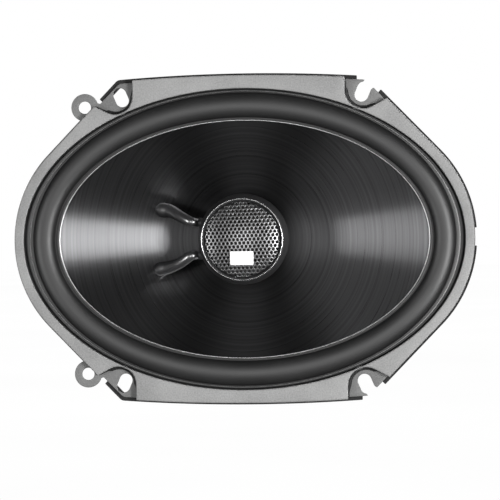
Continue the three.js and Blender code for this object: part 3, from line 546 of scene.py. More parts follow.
class Look:
    """A node material with short ways to add and join nodes."""

    def __init__(self, name):
        self.material = bpy.data.materials.new(name)
        self.material.use_nodes = True
        self.nodes = self.material.node_tree.nodes
        self.links = self.material.node_tree.links
        self.shader = self.nodes["Principled BSDF"]
        self.place = self.nodes.new("ShaderNodeTexCoord").outputs["Object"]

    def node(self, kind, **settings):
        made = self.nodes.new(kind)
        for key, value in settings.items():
            setattr(made, key, value)
        return made

    def join(self, source, target):
        if isinstance(source, (int, float, tuple)):
            target.default_value = source
        else:
            self.links.new(source, target)

    def maths(self, operation, a, b=0.0, c=0.0):
        made = self.node("ShaderNodeMath", operation=operation)
        for slot, value in zip(made.inputs, (a, b, c)):
            self.join(value, slot)
        return made.outputs[0]

    def vector(self, operation, a, b=(0, 0, 0)):
        made = self.node("ShaderNodeVectorMath", operation=operation)
        self.join(a, made.inputs[0])
        self.join(b, made.inputs[1])
        return made.outputs["Value" if operation in ("LENGTH", "DOT_PRODUCT") else "Vector"]

    def noise(self, scale, detail=3.0, roughness=0.55, place=None, dimensions="3D"):
        made = self.node("ShaderNodeTexNoise", noise_dimensions=dimensions)
        made.inputs["Scale"].default_value = scale
        made.inputs["Detail"].default_value = detail
        made.inputs["Roughness"].default_value = roughness
        socket = made.inputs["W"] if dimensions == "1D" else made.inputs["Vector"]
        self.join(place or self.place, socket)
        return made.outputs[0]

    def spread(self, value, low, high):
        """A texture's usual 0.3 to 0.7 stretched to low to high."""
        made = self.node("ShaderNodeMapRange")
        for slot, number in zip(made.inputs, (value, 0.3, 0.7, low, high)):
            self.join(number, slot)
        return made.outputs[0]

    def colours(self, value, first, second, start=0.3, end=0.7):
        ramp = self.node("ShaderNodeValToRGB")
        ramp.color_ramp.elements[0].position = start
        ramp.color_ramp.elements[1].position = end
        ramp.color_ramp.elements[0].color = (*first, 1)
        ramp.color_ramp.elements[1].color = (*second, 1)
        self.join(value, ramp.inputs[0])
        return ramp.outputs[0]

    def bump(self, height, distance, strength):
        made = self.node("ShaderNodeBump")
        made.inputs["Distance"].default_value = distance * MM
        made.inputs["Strength"].default_value = strength
        self.join(height, made.inputs["Height"])
        return made.outputs[0]

    def radius(self):
        """Distance from the speaker's axis."""
        return self.vector("LENGTH", self.vector("MULTIPLY", self.place, (1, 0, 1)))

    def finish(self, colour, roughness, metallic, normal, **more):
        self.join(colour, self.shader.inputs["Base Color"])
        self.join(roughness, self.shader.inputs["Roughness"])
        self.join(metallic, self.shader.inputs["Metallic"])
        self.join(normal, self.shader.inputs["Normal"])
        for key, value in more.items():
            self.join(value, self.shader.inputs[key.replace("_", " ")])
        return self.material


def grained(name, first, second, roughness, metallic, grain, depth, **more):
    """Colour and roughness that drift slowly, over a fine grain."""
    look = Look(name)
    drift = look.noise(45, 4)
    fine = look.noise(grain, 3)
    mixed = look.maths("MULTIPLY_ADD", fine, 0.5, look.maths("MULTIPLY", drift, 0.5))
    low, high = roughness
    return look.finish(
        look.colours(mixed, first, second),
        look.spread(look.maths("MULTIPLY_ADD", drift, 0.6, look.maths("MULTIPLY", fine, 0.4)), low, high),
        metallic,
        look.bump(fine, depth, 0.6),
        **more,
    )


def cone_look():
    """Dark metal film with fine grooves turned round the axis, which draw its gloss out into fans."""
    look = Look("cone_film")
    radius = look.radius()
    fine = look.noise(5200, 2, 0.6, radius, "1D")
    broad = look.noise(900, 3, 0.6, radius, "1D")
    patches = look.noise(38, 3)
    grooves = look.maths("MULTIPLY_ADD", broad, 0.6, look.maths("MULTIPLY", fine, 0.5))
    outward = look.vector("NORMALIZE", look.vector("MULTIPLY", look.place, (1, 0, 1)))
    colour = look.colours(grooves, (0.037, 0.037, 0.038), (0.08, 0.08, 0.082), 0.25, 0.8)
    wear = look.maths("MULTIPLY_ADD", patches, 0.4, look.maths("MULTIPLY", grooves, 0.6))
    rough = look.spread(wear, 0.26, 0.32)
    normal = look.bump(grooves, 0.02, 0.4)
    return look.finish(colour, rough, 0.95, normal, Anisotropic=0.97, Tangent=outward)


def weave_look(name, first, second, pitch, depth):
    """Plain woven cloth."""
    look = Look(name)
    axes = look.node("ShaderNodeSeparateXYZ")
    look.join(look.place, axes.inputs[0])
    turn = 2 * pi / (pitch * MM)
    warp = look.maths("SINE", look.maths("MULTIPLY", axes.outputs[0], turn))
    weft = look.maths("SINE", look.maths("MULTIPLY", axes.outputs[2], turn))
    threads = look.maths("MULTIPLY_ADD", look.maths("MULTIPLY", warp, weft), 0.5, 0.5)
    drift = look.noise(60, 4)
    mixed = look.maths("MULTIPLY_ADD", threads, 0.6, look.maths("MULTIPLY", drift, 0.4))
    return look.finish(look.colours(mixed, first, second), 0.85, 0.0, look.bump(threads, depth, 0.8))


def braid_look():
    """Twisted bare copper strands."""
    look = Look("copper_braid")
    wave = look.node("ShaderNodeTexWave", wave_type="BANDS", bands_direction="DIAGONAL")
    wave.inputs["Scale"].default_value = 420
    wave.inputs["Distortion"].default_value = 1.5
    look.join(look.place, wave.inputs["Vector"])
    strands = wave.outputs[1]
    colour = look.colours(strands, (0.22, 0.10, 0.05), (0.75, 0.42, 0.24))
    return look.finish(colour, look.spread(strands, 0.45, 0.3), 0.9, look.bump(strands, 0.12, 0.9))


def brushed_look():
    """Bright badge metal brushed from side to side."""
    look = Look("brushed_bright")
    stretched = look.vector("MULTIPLY", look.place, (0.05, 1, 1))
    lines = look.noise(9000, 3, 0.6, stretched)
    colour = look.colours(lines, (0.84, 0.84, 0.84), (0.96, 0.96, 0.96))
    return look.finish(colour, look.spread(lines, 0.25, 0.4), 0.1, look.bump(lines, 0.006, 0.5))


PAINT = grained("silver_paint", (0.175, 0.175, 0.175), (0.35, 0.35, 0.347), (0.48, 0.62), 0.15, 1500, 0.16)
# Darker paint for the pocket floors and the ears, which lie below the face: painted shade.
SHADED_FLOOR_PAINT = grained("shaded_paint", (0.1, 0.1, 0.1), (0.21, 0.21, 0.208), (0.5, 0.65), 0.15, 1500, 0.12)
# Near-black paint for the walls down from the raised face: painted shade where the walls stand in shadow.
SHADE_WALL_PAINT = grained("painted_shade_walls", (0.012, 0.012, 0.012), (0.03, 0.03, 0.03), (0.4, 0.6), 0.0, 1500, 0.08)
FOAM = grained("black_foam", (0.008, 0.008, 0.008), (0.03, 0.03, 0.03), (0.85, 1.0), 0.0, 2400, 0.15)
RUBBER = grained(
    "black_rubber", (0.006, 0.006, 0.0061), (0.012, 0.012, 0.0122), (0.44, 0.54), 0.0, 1500, 0.02,
    Specular_IOR_Level=0.75,
)
BOOT_RUBBER = grained(
    "boot_rubber", (0.016, 0.016, 0.017), (0.035, 0.035, 0.037), (0.5, 0.7), 0.0, 1100, 0.05,
)
CONE_FILM = cone_look()
SLEEVE = grained(
    "glossy_sleeve", (0.014, 0.014, 0.015), (0.026, 0.026, 0.027), (0.28, 0.38), 0.0, 900, 0.01,
    Coat_Weight=1.0, Coat_Roughness=0.16, Specular_IOR_Level=1.0, IOR=1.8,
)
POD_PLASTIC = grained(
    "pod_plastic", (0.014, 0.014, 0.0145), (0.03, 0.03, 0.031), (0.42, 0.55), 0.0, 2200, 0.02,
)
BLACK_PLASTIC = grained(
    "black_plastic", (0.015, 0.015, 0.016), (0.03, 0.03, 0.032), (0.4, 0.6), 0.0, 1600, 0.03,
)
BRIGHT_EDGE = grained("bright_edge", (0.5, 0.5, 0.505), (0.7, 0.7, 0.705), (0.25, 0.4), 1.0, 1400, 0.01)
CHROME = grained("bright_trim", (0.6, 0.6, 0.605), (0.78, 0.78, 0.785), (0.2, 0.32), 1.0, 1200, 0.004)
MESH_METAL = grained("grille_metal", (0.18, 0.18, 0.183), (0.28, 0.28, 0.284), (0.26, 0.32), 0.95, 3000, 0.01)
BADGE_METAL = brushed_look()
ZINC = grained("zinc_plate", (0.42, 0.43, 0.44), (0.62, 0.62, 0.61), (0.28, 0.5), 1.0, 500, 0.015)
FERRITE = grained("ferrite", (0.028, 0.028, 0.03), (0.07, 0.07, 0.072), (0.55, 0.8), 0.15, 800, 0.08)
NICKEL = grained("nickel", (0.5, 0.5, 0.5), (0.7, 0.7, 0.69), (0.2, 0.35), 1.0, 700, 0.01)
BRASS = grained("brass", (0.42, 0.28, 0.09), (0.68, 0.5, 0.2), (0.25, 0.45), 1.0, 800, 0.02)
TINNED = grained("tinned_brass", (0.46, 0.45, 0.4), (0.68, 0.67, 0.6), (0.22, 0.42), 1.0, 900, 0.02)
BOARD = grained("phenolic_board", (0.10, 0.055, 0.025), (0.19, 0.11, 0.05), (0.5, 0.75), 0.0, 700, 0.05)
FORMER = grained("amber_film", (0.18, 0.09, 0.03), (0.32, 0.17, 0.06), (0.25, 0.4), 0.1, 700, 0.01)
COPPER = grained("copper_wire", (0.35, 0.14, 0.06), (0.6, 0.28, 0.14), (0.25, 0.45), 0.9, 1500, 0.03)
SILK = weave_look("coated_silk", (0.012, 0.011, 0.01), (0.03, 0.028, 0.026), 0.35, 0.02)
SPIDER_CLOTH = weave_look("spider_cloth", (0.28, 0.15, 0.035), (0.5, 0.31, 0.1), 0.55, 0.08)
BRAID = braid_look()


# ---- Basket ----


def depth_inside(x, y):
    """How far a point lies inside the outline of the raised face."""
    grow = -GASKET_PROUD
    across, up = cos(END_SWEEP), sin(END_SWEEP)
    x, y = abs(x), abs(y)
    slant = END_CENTRE * across + END_RADIUS + grow - x * across - y * up
    crown = CROWN_RADIUS + grow - hypot(x, y - HALF_HEIGHT + CROWN_RADIUS)
    if x > END_CENTRE and y < tan(END_SWEEP) * (x - END_CENTRE):
        return min(crown, END_RADIUS + grow - hypot(x - END_CENTRE, y))
    return min(crown, slant)


def pocket_clearance(x, y):
    """How far a point lies outside the nearest screw pocket."""
    nearest = 1000.0
    for side, px, py, radius in POCKETS:
        spot = Vector((x * side - px, abs(y) - py))
        beyond = spot.x * POCKET_WAY.y - spot.y * POCKET_WAY.x
        if spot.x >= 0 and beyond <= 0:
            away = 0.0
        else:
            past_upright = abs(spot.x) if spot.y > 0 else spot.length
            past_slant = abs(beyond) if spot.dot(POCKET_WAY) > 0 else spot.length
            away = min(past_upright, past_slant)
        nearest = min(nearest, away - radius)
    return nearest


def opening_clearance(x, y):
    """About how far a point lies outside the opening."""
    out = hypot(x / OPENING[0], y / OPENING[1])
    return (out - 1) * out / hypot(x / OPENING[0] ** 2, y / OPENING[1] ** 2)


def face_height(x, y):
    """Front of the raised face, whose edges are all bent over."""
    room = min(depth_inside(x, y), pocket_clearance(x, y), opening_clearance(x, y))
    rest = 1 - max(0.0, min(1.0, room / BEND))
    return FACE - BEND * (1 - sqrt(1 - rest * rest))


# Walls down from the raised face as (how far out, height); the first step stands at the face's own height.
OPENING_WALL = (
    (0.0, None), (0.0, FLOOR + 1.5), (0.15, FLOOR + 0.7), (0.5, FLOOR + 0.15), (1.2, FLOOR), (3.2, FLOOR),
)
POCKET_WALL = (
    (0.0, None), (0.0, FLOOR + 1.5), (0.0, FLOOR + POCKET_FOOT),
    (0.1 * POCKET_FOOT, FLOOR + 0.4 * POCKET_FOOT), (0.4 * POCKET_FOOT, FLOOR + 0.12 * POCKET_FOOT),
    (POCKET_FOOT, FLOOR - 0.02),
)
OUTER_WALL = (
    (0.0, None), (0.02, FLOOR + 1.5), (0.04, FLOOR + 0.6), (0.06, FLOOR),
    (0.06, FLOOR - SHEET + 0.5), (0.06, FLOOR - SHEET),
)


def is_opening(outline):
    """Whether an outline is the oval opening and not the outer edge."""
    widest = max(abs(p.x) / OPENING[0] for p in outline)
    tallest = max(abs(p.y) for p in outline)
    return widest < 1.01 and tallest < HALF_HEIGHT - 2


def edge_wall(outline):
    """Rings down from one edge of the raised face; a pocket's wall runs into the outer wall at its ends."""
    outward = [a - b for a, b in zip(outline, inset(outline, 1.0))]
    round_opening = is_opening(outline)
    rings = []
    for opening, pocket, outer in zip(OPENING_WALL, POCKET_WALL, OUTER_WALL):
        for spot, way in zip(outline, outward):
            reach, height = opening
            if not round_opening:
                share = smooth(depth_inside(spot.x, spot.y), 0.15, 1.6)
                reach = outer[0] + (pocket[0] - outer[0]) * share
                height = None if height is None else outer[1] + (pocket[1] - outer[1]) * share
            if height is None:
                height = face_height(spot.x, spot.y)
            foot = spot + way * reach
            rings.append((foot.x, foot.y, height))
    return rings


def raised_face():
    """The raised face: its outer and pocket walls, its flat and the step down to the surround."""
    nets = []
    for depth in (0.0, 0.05, 0.15, 0.3, 0.5, BEND):
        grown = (OPENING[0] + depth, OPENING[1] + depth)
        removed = [*pocket_outlines(depth), ellipse(grown, 360)]
        corner = 0.9 if depth == 0 else 0.3
        nets.append(combined([flange_outline(-GASKET_PROUD - depth)], removed, corner=corner))
    edge = nets[0]
    corners, triangles = triangulated([outline for net in nets for outline in net])
    centres = corners[triangles].mean(axis=1)
    keep = sum(inside(centres, outline).astype(int) for outline in edge) % 2 == 1
    points = [(x, y, face_height(x, y)) for x, y in corners]
    faces = [tuple(int(i) for i in t) for t in triangles[keep]]
    for outline in edge:
        add(points, faces, edge_wall(outline), quads(len(OPENING_WALL), len(outline)))
    nodes = ["basket_rim", *CORNER_NODES]
    obj = finished("basket_face", (points, faces), PAINT, nodes, 60)
    # Faces on the walls below the face get the near-black paint: painted shade.
    second_look(obj, SHADE_WALL_PAINT, lambda heights: sum(heights) / len(heights) < FACE - SHADE_BELOW)
    face_forward(obj)
    solidify(obj, SHEET)


def face_forward(obj):
    """Turns a sheet's faces so that its front skin looks at the listener."""
    mesh = obj.data
    lean = sum(p.normal.y * p.area for p in mesh.polygons)
    if lean > 0:
        mesh.flip_normals()


def corner_plates():
    """The flat floors of the four pockets with their slots, and the two ears."""
    flange = flange_outline(-GASKET_PROUD - FLOOR_TRIM)
    slots = slot_outlines()
    corners = [("upper_left", -1, 1), ("lower_left", -1, -1), ("upper_right", 1, 1), ("lower_right", 1, -1)]
    for pocket, (label, across, up) in zip(pocket_outlines(FLOOR_TUCK), corners):
        floor = combined([pocket], within=[flange], corner=0)
        if across < 0:
            floor += [ear for ear in ear_outlines() if ear[0].y * up > 0]
        holes = [slot for slot in slots if slot[0].y * up > 0 and slot[0].x * across > 0]
        net = plate(combined(floor, holes, corner=0.5), FLOOR - SHEET, FLOOR, 0.28)
        node = f"basket_corner_{label}"
        # The floors and ears take the darker paint: painted shade.
        finished(f"{node}_floor", net, SHADED_FLOOR_PAINT, [node], 50)


def well_height(x, y):
    """Front of the slanted part of the basket over a point between the deep wall and the hub."""
    share = oval_share(x, y, (SHELF[0], SHELF[0]), SKIRT)
    return SHELF[2] + (SKIRT_END - SHELF[2]) * share


def spoke_rib(x, y):
    """How far the pressed groove along each spoke stands behind its surface."""
    past_rim = hypot(x / WINDOW_RIM[0], y / WINDOW_RIM[1]) - 0.93
    reach = smooth(hypot(x, y), 50, 55) * (1 - smooth(past_rim, -0.02, 0.05))
    deepest = 0.0
    for degrees in SPOKE_ANGLES:
        angle = radians(degrees)
        along = x * cos(angle) + y * sin(angle)
        across = abs(y * cos(angle) - x * sin(angle))
        if along > 0:
            deepest = max(deepest, 1 - smooth(across, 1.2, 3.6))
    return RIB_DEPTH * deepest * reach


def window_outlines():
    """The openings between the spokes."""
    bars = []
    for degrees in SPOKE_ANGLES:
        along = heading(radians(degrees))
        side = Vector((-along.y, along.x)) * SPOKE_WIDTH / 2
        bars.append([-side, along * 110 - side, along * 110 + side, side])
    hub = ellipse((WINDOW_HUB, WINDOW_HUB), 90)
    return combined([ellipse(WINDOW_RIM, 120)], [hub, *bars], corner=3.2)


def basket_well():
    """Landing, deep wall, spokes between the windows, spider shelf and motor plate, as one pressed sheet."""
    sides = 180
    inner_rim, outer_rim = WINDOW_HUB - 1.6, 1.6
    above = [
        Vector((OPENING[0] - 2.0 - LANDING[0], FLOOR)),
        Vector((0.0, FLOOR)),
        Vector((-SKIRT_TAPER, SKIRT_END)),
        Vector((WINDOW_RIM[0] + outer_rim - LANDING[0], SKIRT_END)),
    ]
    rings = []
    for p in rounded(above, 1.6, closed=False)[:-1]:
        rings.append((LANDING[0] + p.x, LANDING[1] + min(p.x, 1.8), p.y))
    points = oval_ring_points(rings, sides)
    faces = quads(len(rings), sides)

    lowest = [
        Vector((inner_rim, SHELF[2] + 0.4)),
        Vector((SHELF[0], SHELF[2])),
        Vector((SHELF[1], SHELF[2])),
        Vector((BOTTOM[0], BOTTOM[2])),
        Vector((BOTTOM[1], BOTTOM[2])),
    ]
    hub_rings = [(p.x, p.x, p.y) for p in rounded(lowest, 1.8, closed=False)]
    add(points, faces, oval_ring_points(hub_rings, sides), quads(len(hub_rings), sides))

    windows = [outline[::-1] for outline in window_outlines()]
    outer = [Vector((a, b)) for a, b, _ in oval_ring_points([rings[-1]], sides)]
    hub = ellipse((inner_rim, inner_rim), sides)[::-1]
    spacing, keep_off = 2.0, 1.0
    extra = []
    for i in range(-46, 47):
        for j in range(-32, 33):
            extra.append(Vector((spacing * i + (j % 2), spacing * j)))
    spots = np.array([tuple(p) for p in extra])
    clear = inside(spots, inset(outer, keep_off))
    clear &= ~inside(spots, ellipse((inner_rim + keep_off, inner_rim + keep_off), 90))
    for window in windows:
        clear &= ~inside(spots, inset(window, keep_off))
    extra = [p for p, wanted in zip(extra, clear) if wanted]
    flat, triangles = cap([outer, hub, *windows], 0.0, extra)
    slanted = [(x, y, well_height(x, y) - spoke_rib(x, y)) for x, y, _ in flat]
    add(points, faces, slanted, triangles)
    nodes = ["basket_rim", "basket_spokes"]
    obj = finished("basket_well", (points, faces), PAINT, nodes, 40)
    face_forward(obj)
    solidify(obj, SHEET)


# Each strip is the part of the gasket's ring that lies inside its mask.
GASKET_MASKS = {
    "gasket_top": [(51, 95), (-81, 95), (-81, 80), (-45.5, 45), (51, 50)],
    "gasket_bottom": [(52, -95), (52, -50), (-45.5, -46.5), (-81, -81.5), (-81, -95)],
    "gasket_left": [(-110, 17), (-110, -25), (-85, -68), (-45, -24), (-45, 24), (-85, 68), (-110, 25)],
    "gasket_right_upper": [(120, 4), (120, 60), (82, 86), (42, 46), (60, 4)],
    "gasket_right_lower": [(120, -4), (60, -4), (43, -46), (83, -86), (120, -60)],
}


def gaskets():
    """Foam strips behind the flange's edge, cut square where the screws and the ears come through."""
    outer, inner = flange_outline(0), flange_outline(-GASKET_WIDTH)
    for name, mask in GASKET_MASKS.items():
        outlines = combined([outer], [inner], [[Vector(p) for p in mask]], corner=0.3)
        finished(f"{name}_strip", plate(outlines, 0.0, GASKET_HIGH.z, 0.3), FOAM, [name], 50)


# ---- Cone, surround and spider ----


def radial_blend(obj, inner, outer):
    """Points at the inner oval follow the cone, points at the outer one stay with the frame."""
    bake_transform(obj, BODY_FRAME, BODY_CONE, start=(0, 0.01, 0), end=(0, -0.01, 0))
    weights = obj.data.attributes["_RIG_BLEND"].data
    for vertex, weight in zip(obj.data.vertices, weights):
        share = oval_share(vertex.co.x / MM, vertex.co.z / MM, inner, outer, 16)
        weight.value = 1 - smooth(share, 0.0, 1.0)


def surround():
    """Rubber half roll with a flat edge on the basket and a thin lip on the cone."""
    lip_back = FLOOR + GAP
    wall = 0.8
    lip = lip_back + wall
    crest = SURROUND_HIGH.z
    outer, inner = (94.3, 65.2), (84.3, 53.9)
    edge, cone_lip = (SURROUND_HIGH.x, SURROUND_HIGH.y), (82.6, 52.9)
    middle = [(outer[i] + inner[i]) / 2 for i in (0, 1)]
    half = [(outer[i] - inner[i]) / 2 for i in (0, 1)]
    profile = [(*edge, lip_back), (*edge, lip - 0.1), (edge[0] - 0.15, edge[1] - 0.15, lip)]
    profile += [(96.6, 66.0, lip), (96.3, 65.9, lip - 0.12), (95.6, 65.7, lip - 0.12), (95.2, 65.6, lip)]
    steps = 28
    for i in range(steps + 1):
        angle = pi * i / steps
        across = cos(angle)
        up = sin(angle) ** 0.9 if 0 < i < steps else 0.0
        a, b = (middle[k] + half[k] * across for k in (0, 1))
        profile.append((a, b, lip + (crest - lip) * up))
    profile += [(84.0, 53.65, lip - 0.05), (83.7, 53.45, lip + 0.1), (83.0, 53.1, lip + 0.1)]
    profile += [(cone_lip[0] + 0.1, cone_lip[1] + 0.05, lip), (*cone_lip, lip - 0.3), (*cone_lip, lip_back)]
    under_steps = 16
    for i in range(under_steps + 1):
        angle = pi * (1 - i / under_steps)
        across, up = cos(angle), sin(angle)
        a, b = (middle[k] + (half[k] - wall) * across for k in (0, 1))
        profile.append((a, b, lip_back + (crest - lip - wall / 2) * up))
    obj = finished("surround_roll", oval_solid(profile), RUBBER, ["surround"], 70, body=None)
    radial_blend(obj, cone_lip, outer)


def cone_height(x, y):
    """Front of the cone over a point."""
    share = oval_share(x, y, (CONE_NECK, CONE_NECK), CONE_EDGE, 30)
    return CONE_RIM_FRONT - CONE_DEPTH * (1 - share)


def cone():
    """Thin metallised cone, round at its neck and oval at its rim, with a bright bead round its edge."""
    rim = (CONE_HIGH.x, CONE_HIGH.y)
    neck_front = CONE_RIM_FRONT - CONE_DEPTH
    steps, crease = 24, 0.995  # a ring just short of the edge keeps the film's shading off the bead
    front = []
    for share in [i / steps for i in range(steps)] + [crease, 1.0]:
        a, b = (CONE_NECK + (edge - CONE_NECK) * share for edge in CONE_EDGE)
        front.append((a, b, neck_front + CONE_DEPTH * share))
    profile = list(front)
    bead_width, bead_height, bead_steps = 0.35, 0.4, 8
    for i in range(1, bead_steps + 1):
        angle = pi * (1 - i / bead_steps)
        out = bead_width * (1 + cos(angle))
        height = CONE_RIM_FRONT + bead_height * sin(angle)
        profile.append((CONE_EDGE[0] + out, CONE_EDGE[1] + out, height))
    profile += [(rim[0] - 0.2, rim[1] - 0.2, CONE_RIM_FRONT), (*rim, CONE_RIM_FRONT - 0.2)]
    profile += [(*rim, CONE_RIM_FRONT - 0.8), (rim[0] - 0.2, rim[1] - 0.2, CONE_RIM_FRONT - 1.0)]
    profile += [(a, b, z - CONE_WALL) for a, b, z in front[::-1]]
    obj = finished("cone_shell", oval_solid(profile), CONE_FILM, ["cone"], 50, BODY_CONE)
    second_look(obj, BRIGHT_EDGE, lambda heights: min(heights) > CONE_RIM_FRONT - 0.01)


def spider():
    """Corrugated cloth: a collar on the former, smooth rolls and a flat edge glued to the shelf."""
    edge_back = SHELF[2] + GAP
    wall, drop, height, rolls = 0.5, 2.0, 1.1, 3
    collar, first, last = 13.6, 15.6, 35.0
    centre = edge_back - drop
    under = [(collar, centre)]
    steps = 14 * rolls
    for i in range(steps + 1):
        share = i / steps
        rise = -cos(2 * pi * rolls * share) * height
        under.append((first + (last - first) * share, centre + rise))
    under += [(last + 1.2, edge_back - 0.9), (last + 2.2, edge_back), (SPIDER_HIGH.x, edge_back)]
    over = [(r, z + wall) for r, z in under[::-1]]
    net = oval_solid([(r, r, z) for r, z in under + over], 128)
    obj = finished("spider_cloth", net, SPIDER_CLOTH, ["spider"], 60, body=None)
    radial_blend(obj, (first, first), (last, last))


# ---- Leads on the cone ----

# Where each lead leaves the cone and where it meets the tweeter: x, y, x, y
EYELETS = {"upper": (-36.0, 12.4, -19.4, 7.6), "lower": (-37.0, -13.2, -19.6, -6.8)}


def cone_normal(x, y):
    """Direction square to the cone's front over a point."""
    step = 0.5
    slope_x = (cone_height(x + step, y) - cone_height(x - step, y)) / (2 * step)
    slope_y = (cone_height(x, y + step) - cone_height(x, y - step)) / (2 * step)
    return Vector((-slope_x, -slope_y, 1)).normalized()


def set_square(points, spot, normal):
    """Points drawn about +Z moved to stand on a spot along its normal."""
    turn = Vector((0, 0, 1)).rotation_difference(normal)
    return [Vector(spot) + turn @ Vector(p) for p in points]


def eyelets():
    """The rings in the cone that the leads come out of."""
    profile = [(1.1, 0.1), (2.0, 0.1), (2.35, 0.25), (2.3, 0.6), (1.9, 0.85), (1.4, 0.85), (1.1, 0.6)]
    points, faces = turned(profile, 40, 0.12)
    for label, (x, y, _, _) in EYELETS.items():
        net = set_square(points, (x, y, cone_height(x, y)), cone_normal(x, y)), faces
        node = f"cone_eyelet_{label}"
        finished(f"eyelet_{label}", net, BRASS, [node], body=BODY_CONE)


def tweeter_leads():
    """Glossy sleeves that rise from the cone in a bulb and bend over to the tweeter's housing."""
    radii_at = (2.6, 3.0, 3.1, 2.9, 2.5, 2.2, 2.05, 2.1)  # at each point of the route
    per_span = 10
    for label, (x, y, pod_x, pod_y) in EYELETS.items():
        lift = 1.1 if label == "upper" else 0.2  # how far the bulb leans up the face
        foot = cone_height(x, y)
        end = TWEETER_BACK + 6.5
        bow, ease = copysign(0.5, y), copysign(0.1, y)
        route = [
            (x + 0.2, y, foot + 0.2),
            (x - 1.3, y + lift / 2, foot + 2.6),
            (x - 1.0, y + lift, foot + 5.8),
            (x + 2.8, y * 0.95 + lift, foot + 8.4),
            ((x + pod_x) / 2 - 0.6, (y + pod_y) / 2 + bow, (foot + end) / 2 + 6.2),
            (pod_x - 4.0, pod_y + bow, end + 2.4),
            (pod_x - 1.6, pod_y + ease, end + 0.9),
            (pod_x + 0.9, pod_y, end),
        ]
        path = spline(route, per_span)
        radii = []
        for i in range(len(path)):
            place = i / per_span
            low = min(int(place), len(radii_at) - 2)
            radii.append(radii_at[low] + (radii_at[low + 1] - radii_at[low]) * (place - low))
        name = f"tweeter_lead_{label}"
        obj = finished(f"{name}_sleeve", tube(path, radii, 28), SLEEVE, [name], 60, body=None)
        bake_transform(obj, BODY_CONE, BODY_FRAME, start=to_row(*route[1]), end=to_row(*route[-2]))


# ---- Tweeter ----


def square_ring(inner, outer, back, front, sides, corner):
    """A ring of square section turned round the axis."""
    profile = [(inner, back), (outer, back), (outer, front), (inner, front)]
    return turned(profile, sides, corner)


def pod():
    """The tweeter's housing, open at the front."""
    z = TWEETER_BACK
    reach = POD_HIGH.x
    profile = [
        (2.3, z), (9.0, z), (14.5, z + 1.2), (18.4, z + 4.2), (reach - 0.3, z + 7.4), (reach, z + 9.0),
        (reach - 0.3, z + 10.6), (18.9, z + 13.6), (18.35, z + 14.9), (16.5, z + 14.9), (16.5, z + 4.5),
        (13.5, z + 2.0), (2.3, z + 2.0),
    ]
    net = turned(profile, 128, 1.6)
    finished("pod_shell", net, POD_PLASTIC, ["tweeter_housing"], 50)


def bezel():
    """A black ring with a thin bright bead on its front."""
    outer, front = BEZEL_HIGH.x, BEZEL_HIGH.z
    step = front - 0.6
    profile = [(17.25, BEZEL_LOW.z), (outer - 0.25, BEZEL_LOW.z), (outer - 0.25, step), (17.45, step)]
    body = turned(profile, 160, 0.2)
    finished("bezel_body", body, BLACK_PLASTIC, ["tweeter_bezel"], 50)
    bead, centre = 0.17, outer - 0.3
    net = square_ring(centre - bead, centre + bead, step, front, 200, bead)
    finished("bezel_bead", net, CHROME, ["tweeter_bezel"], 80)


def dome_height(x, y, front):
    """Front of the grille's shallow dome."""
    radius, rise = GRILLE_HIGH.x, 2.7
    sphere = (radius**2 + rise**2) / (2 * rise)
    return front - sphere + sqrt(sphere**2 - x * x - y * y)


def grille():
    """Domed sheet with staggered rows of round holes, its rim bent back into the bezel."""
    pitch, hole, shoulder = 1.82, 0.67, 0.85
    holes_end, rim = 16.2, 17.15
    bend_start, bend_end, bend_depth = 16.4, 17.2, 0.9
    row_gap = pitch * sqrt(3) / 2
    tilt = radians(1.5)
    spots = []
    for row in range(-11, 12):
        for column in range(-11, 12):
            x = (column + (row % 2) / 2) * pitch
            y = row * row_gap
            across = x * cos(tilt) - y * sin(tilt)
            up = x * sin(tilt) + y * cos(tilt)
            spot = Vector((across, up))
            if spot.length < holes_end:
                spots.append(spot)
    holes = [arc(spot, hole, 2 * pi, 0, pi / 7)[:-1] for spot in spots]
    shoulders = [p for spot in spots for p in arc(spot, shoulder, 2 * pi, 0, pi / 6)[:-1]]
    flat, triangles = cap([ellipse((rim, rim), 128), *holes], 0.0, shoulders)
    points = []
    for x, y, _ in flat:
        sunk = bend_depth * smooth(hypot(x, y), bend_start, bend_end)
        points.append((x, y, dome_height(x, y, GRILLE_HIGH.z) - sunk))
    obj = finished("grille_sheet", (points, triangles), MESH_METAL, ["tweeter_grille"], 70)
    face_forward(obj)
    solidify(obj, 0.45)


def badge():
    """Small plain plate with soft edges, leaning a little as it sits off the dome's middle."""
    half_width, half_height, half_depth = 5.2, 3.05, 0.3
    lean_radius = 73.0  # a gentler curve than the dome's own
    low, high = extent("tweeter_badge")
    centre = (low + high) / 2
    turn = Matrix.Rotation(asin(-centre.y / lean_radius), 4, "X")
    outline = rounded(rectangle(half_width, half_height), 0.5)
    points, faces = plate([outline], -half_depth, half_depth, 0.15)
    net = [turn @ Vector(p) + centre for p in points], faces
    finished("badge_plate", net, BADGE_METAL, ["tweeter_badge"], 50)


# ---- Motor ----


def motor():
    """Top plate and magnet."""
    plate_ring = square_ring(14.7, PLATE_HIGH.x, PLATE_LOW.z, PLATE_HIGH.z, 160, 0.5)
    finished("top_plate_ring", plate_ring, ZINC, ["top_plate"], 40)
    magnet_ring = square_ring(20, MAGNET_HIGH.x, MAGNET_LOW.z, MAGNET_HIGH.z, 160, 0.8)
    finished("magnet_ring", magnet_ring, FERRITE, ["magnet"], 40)


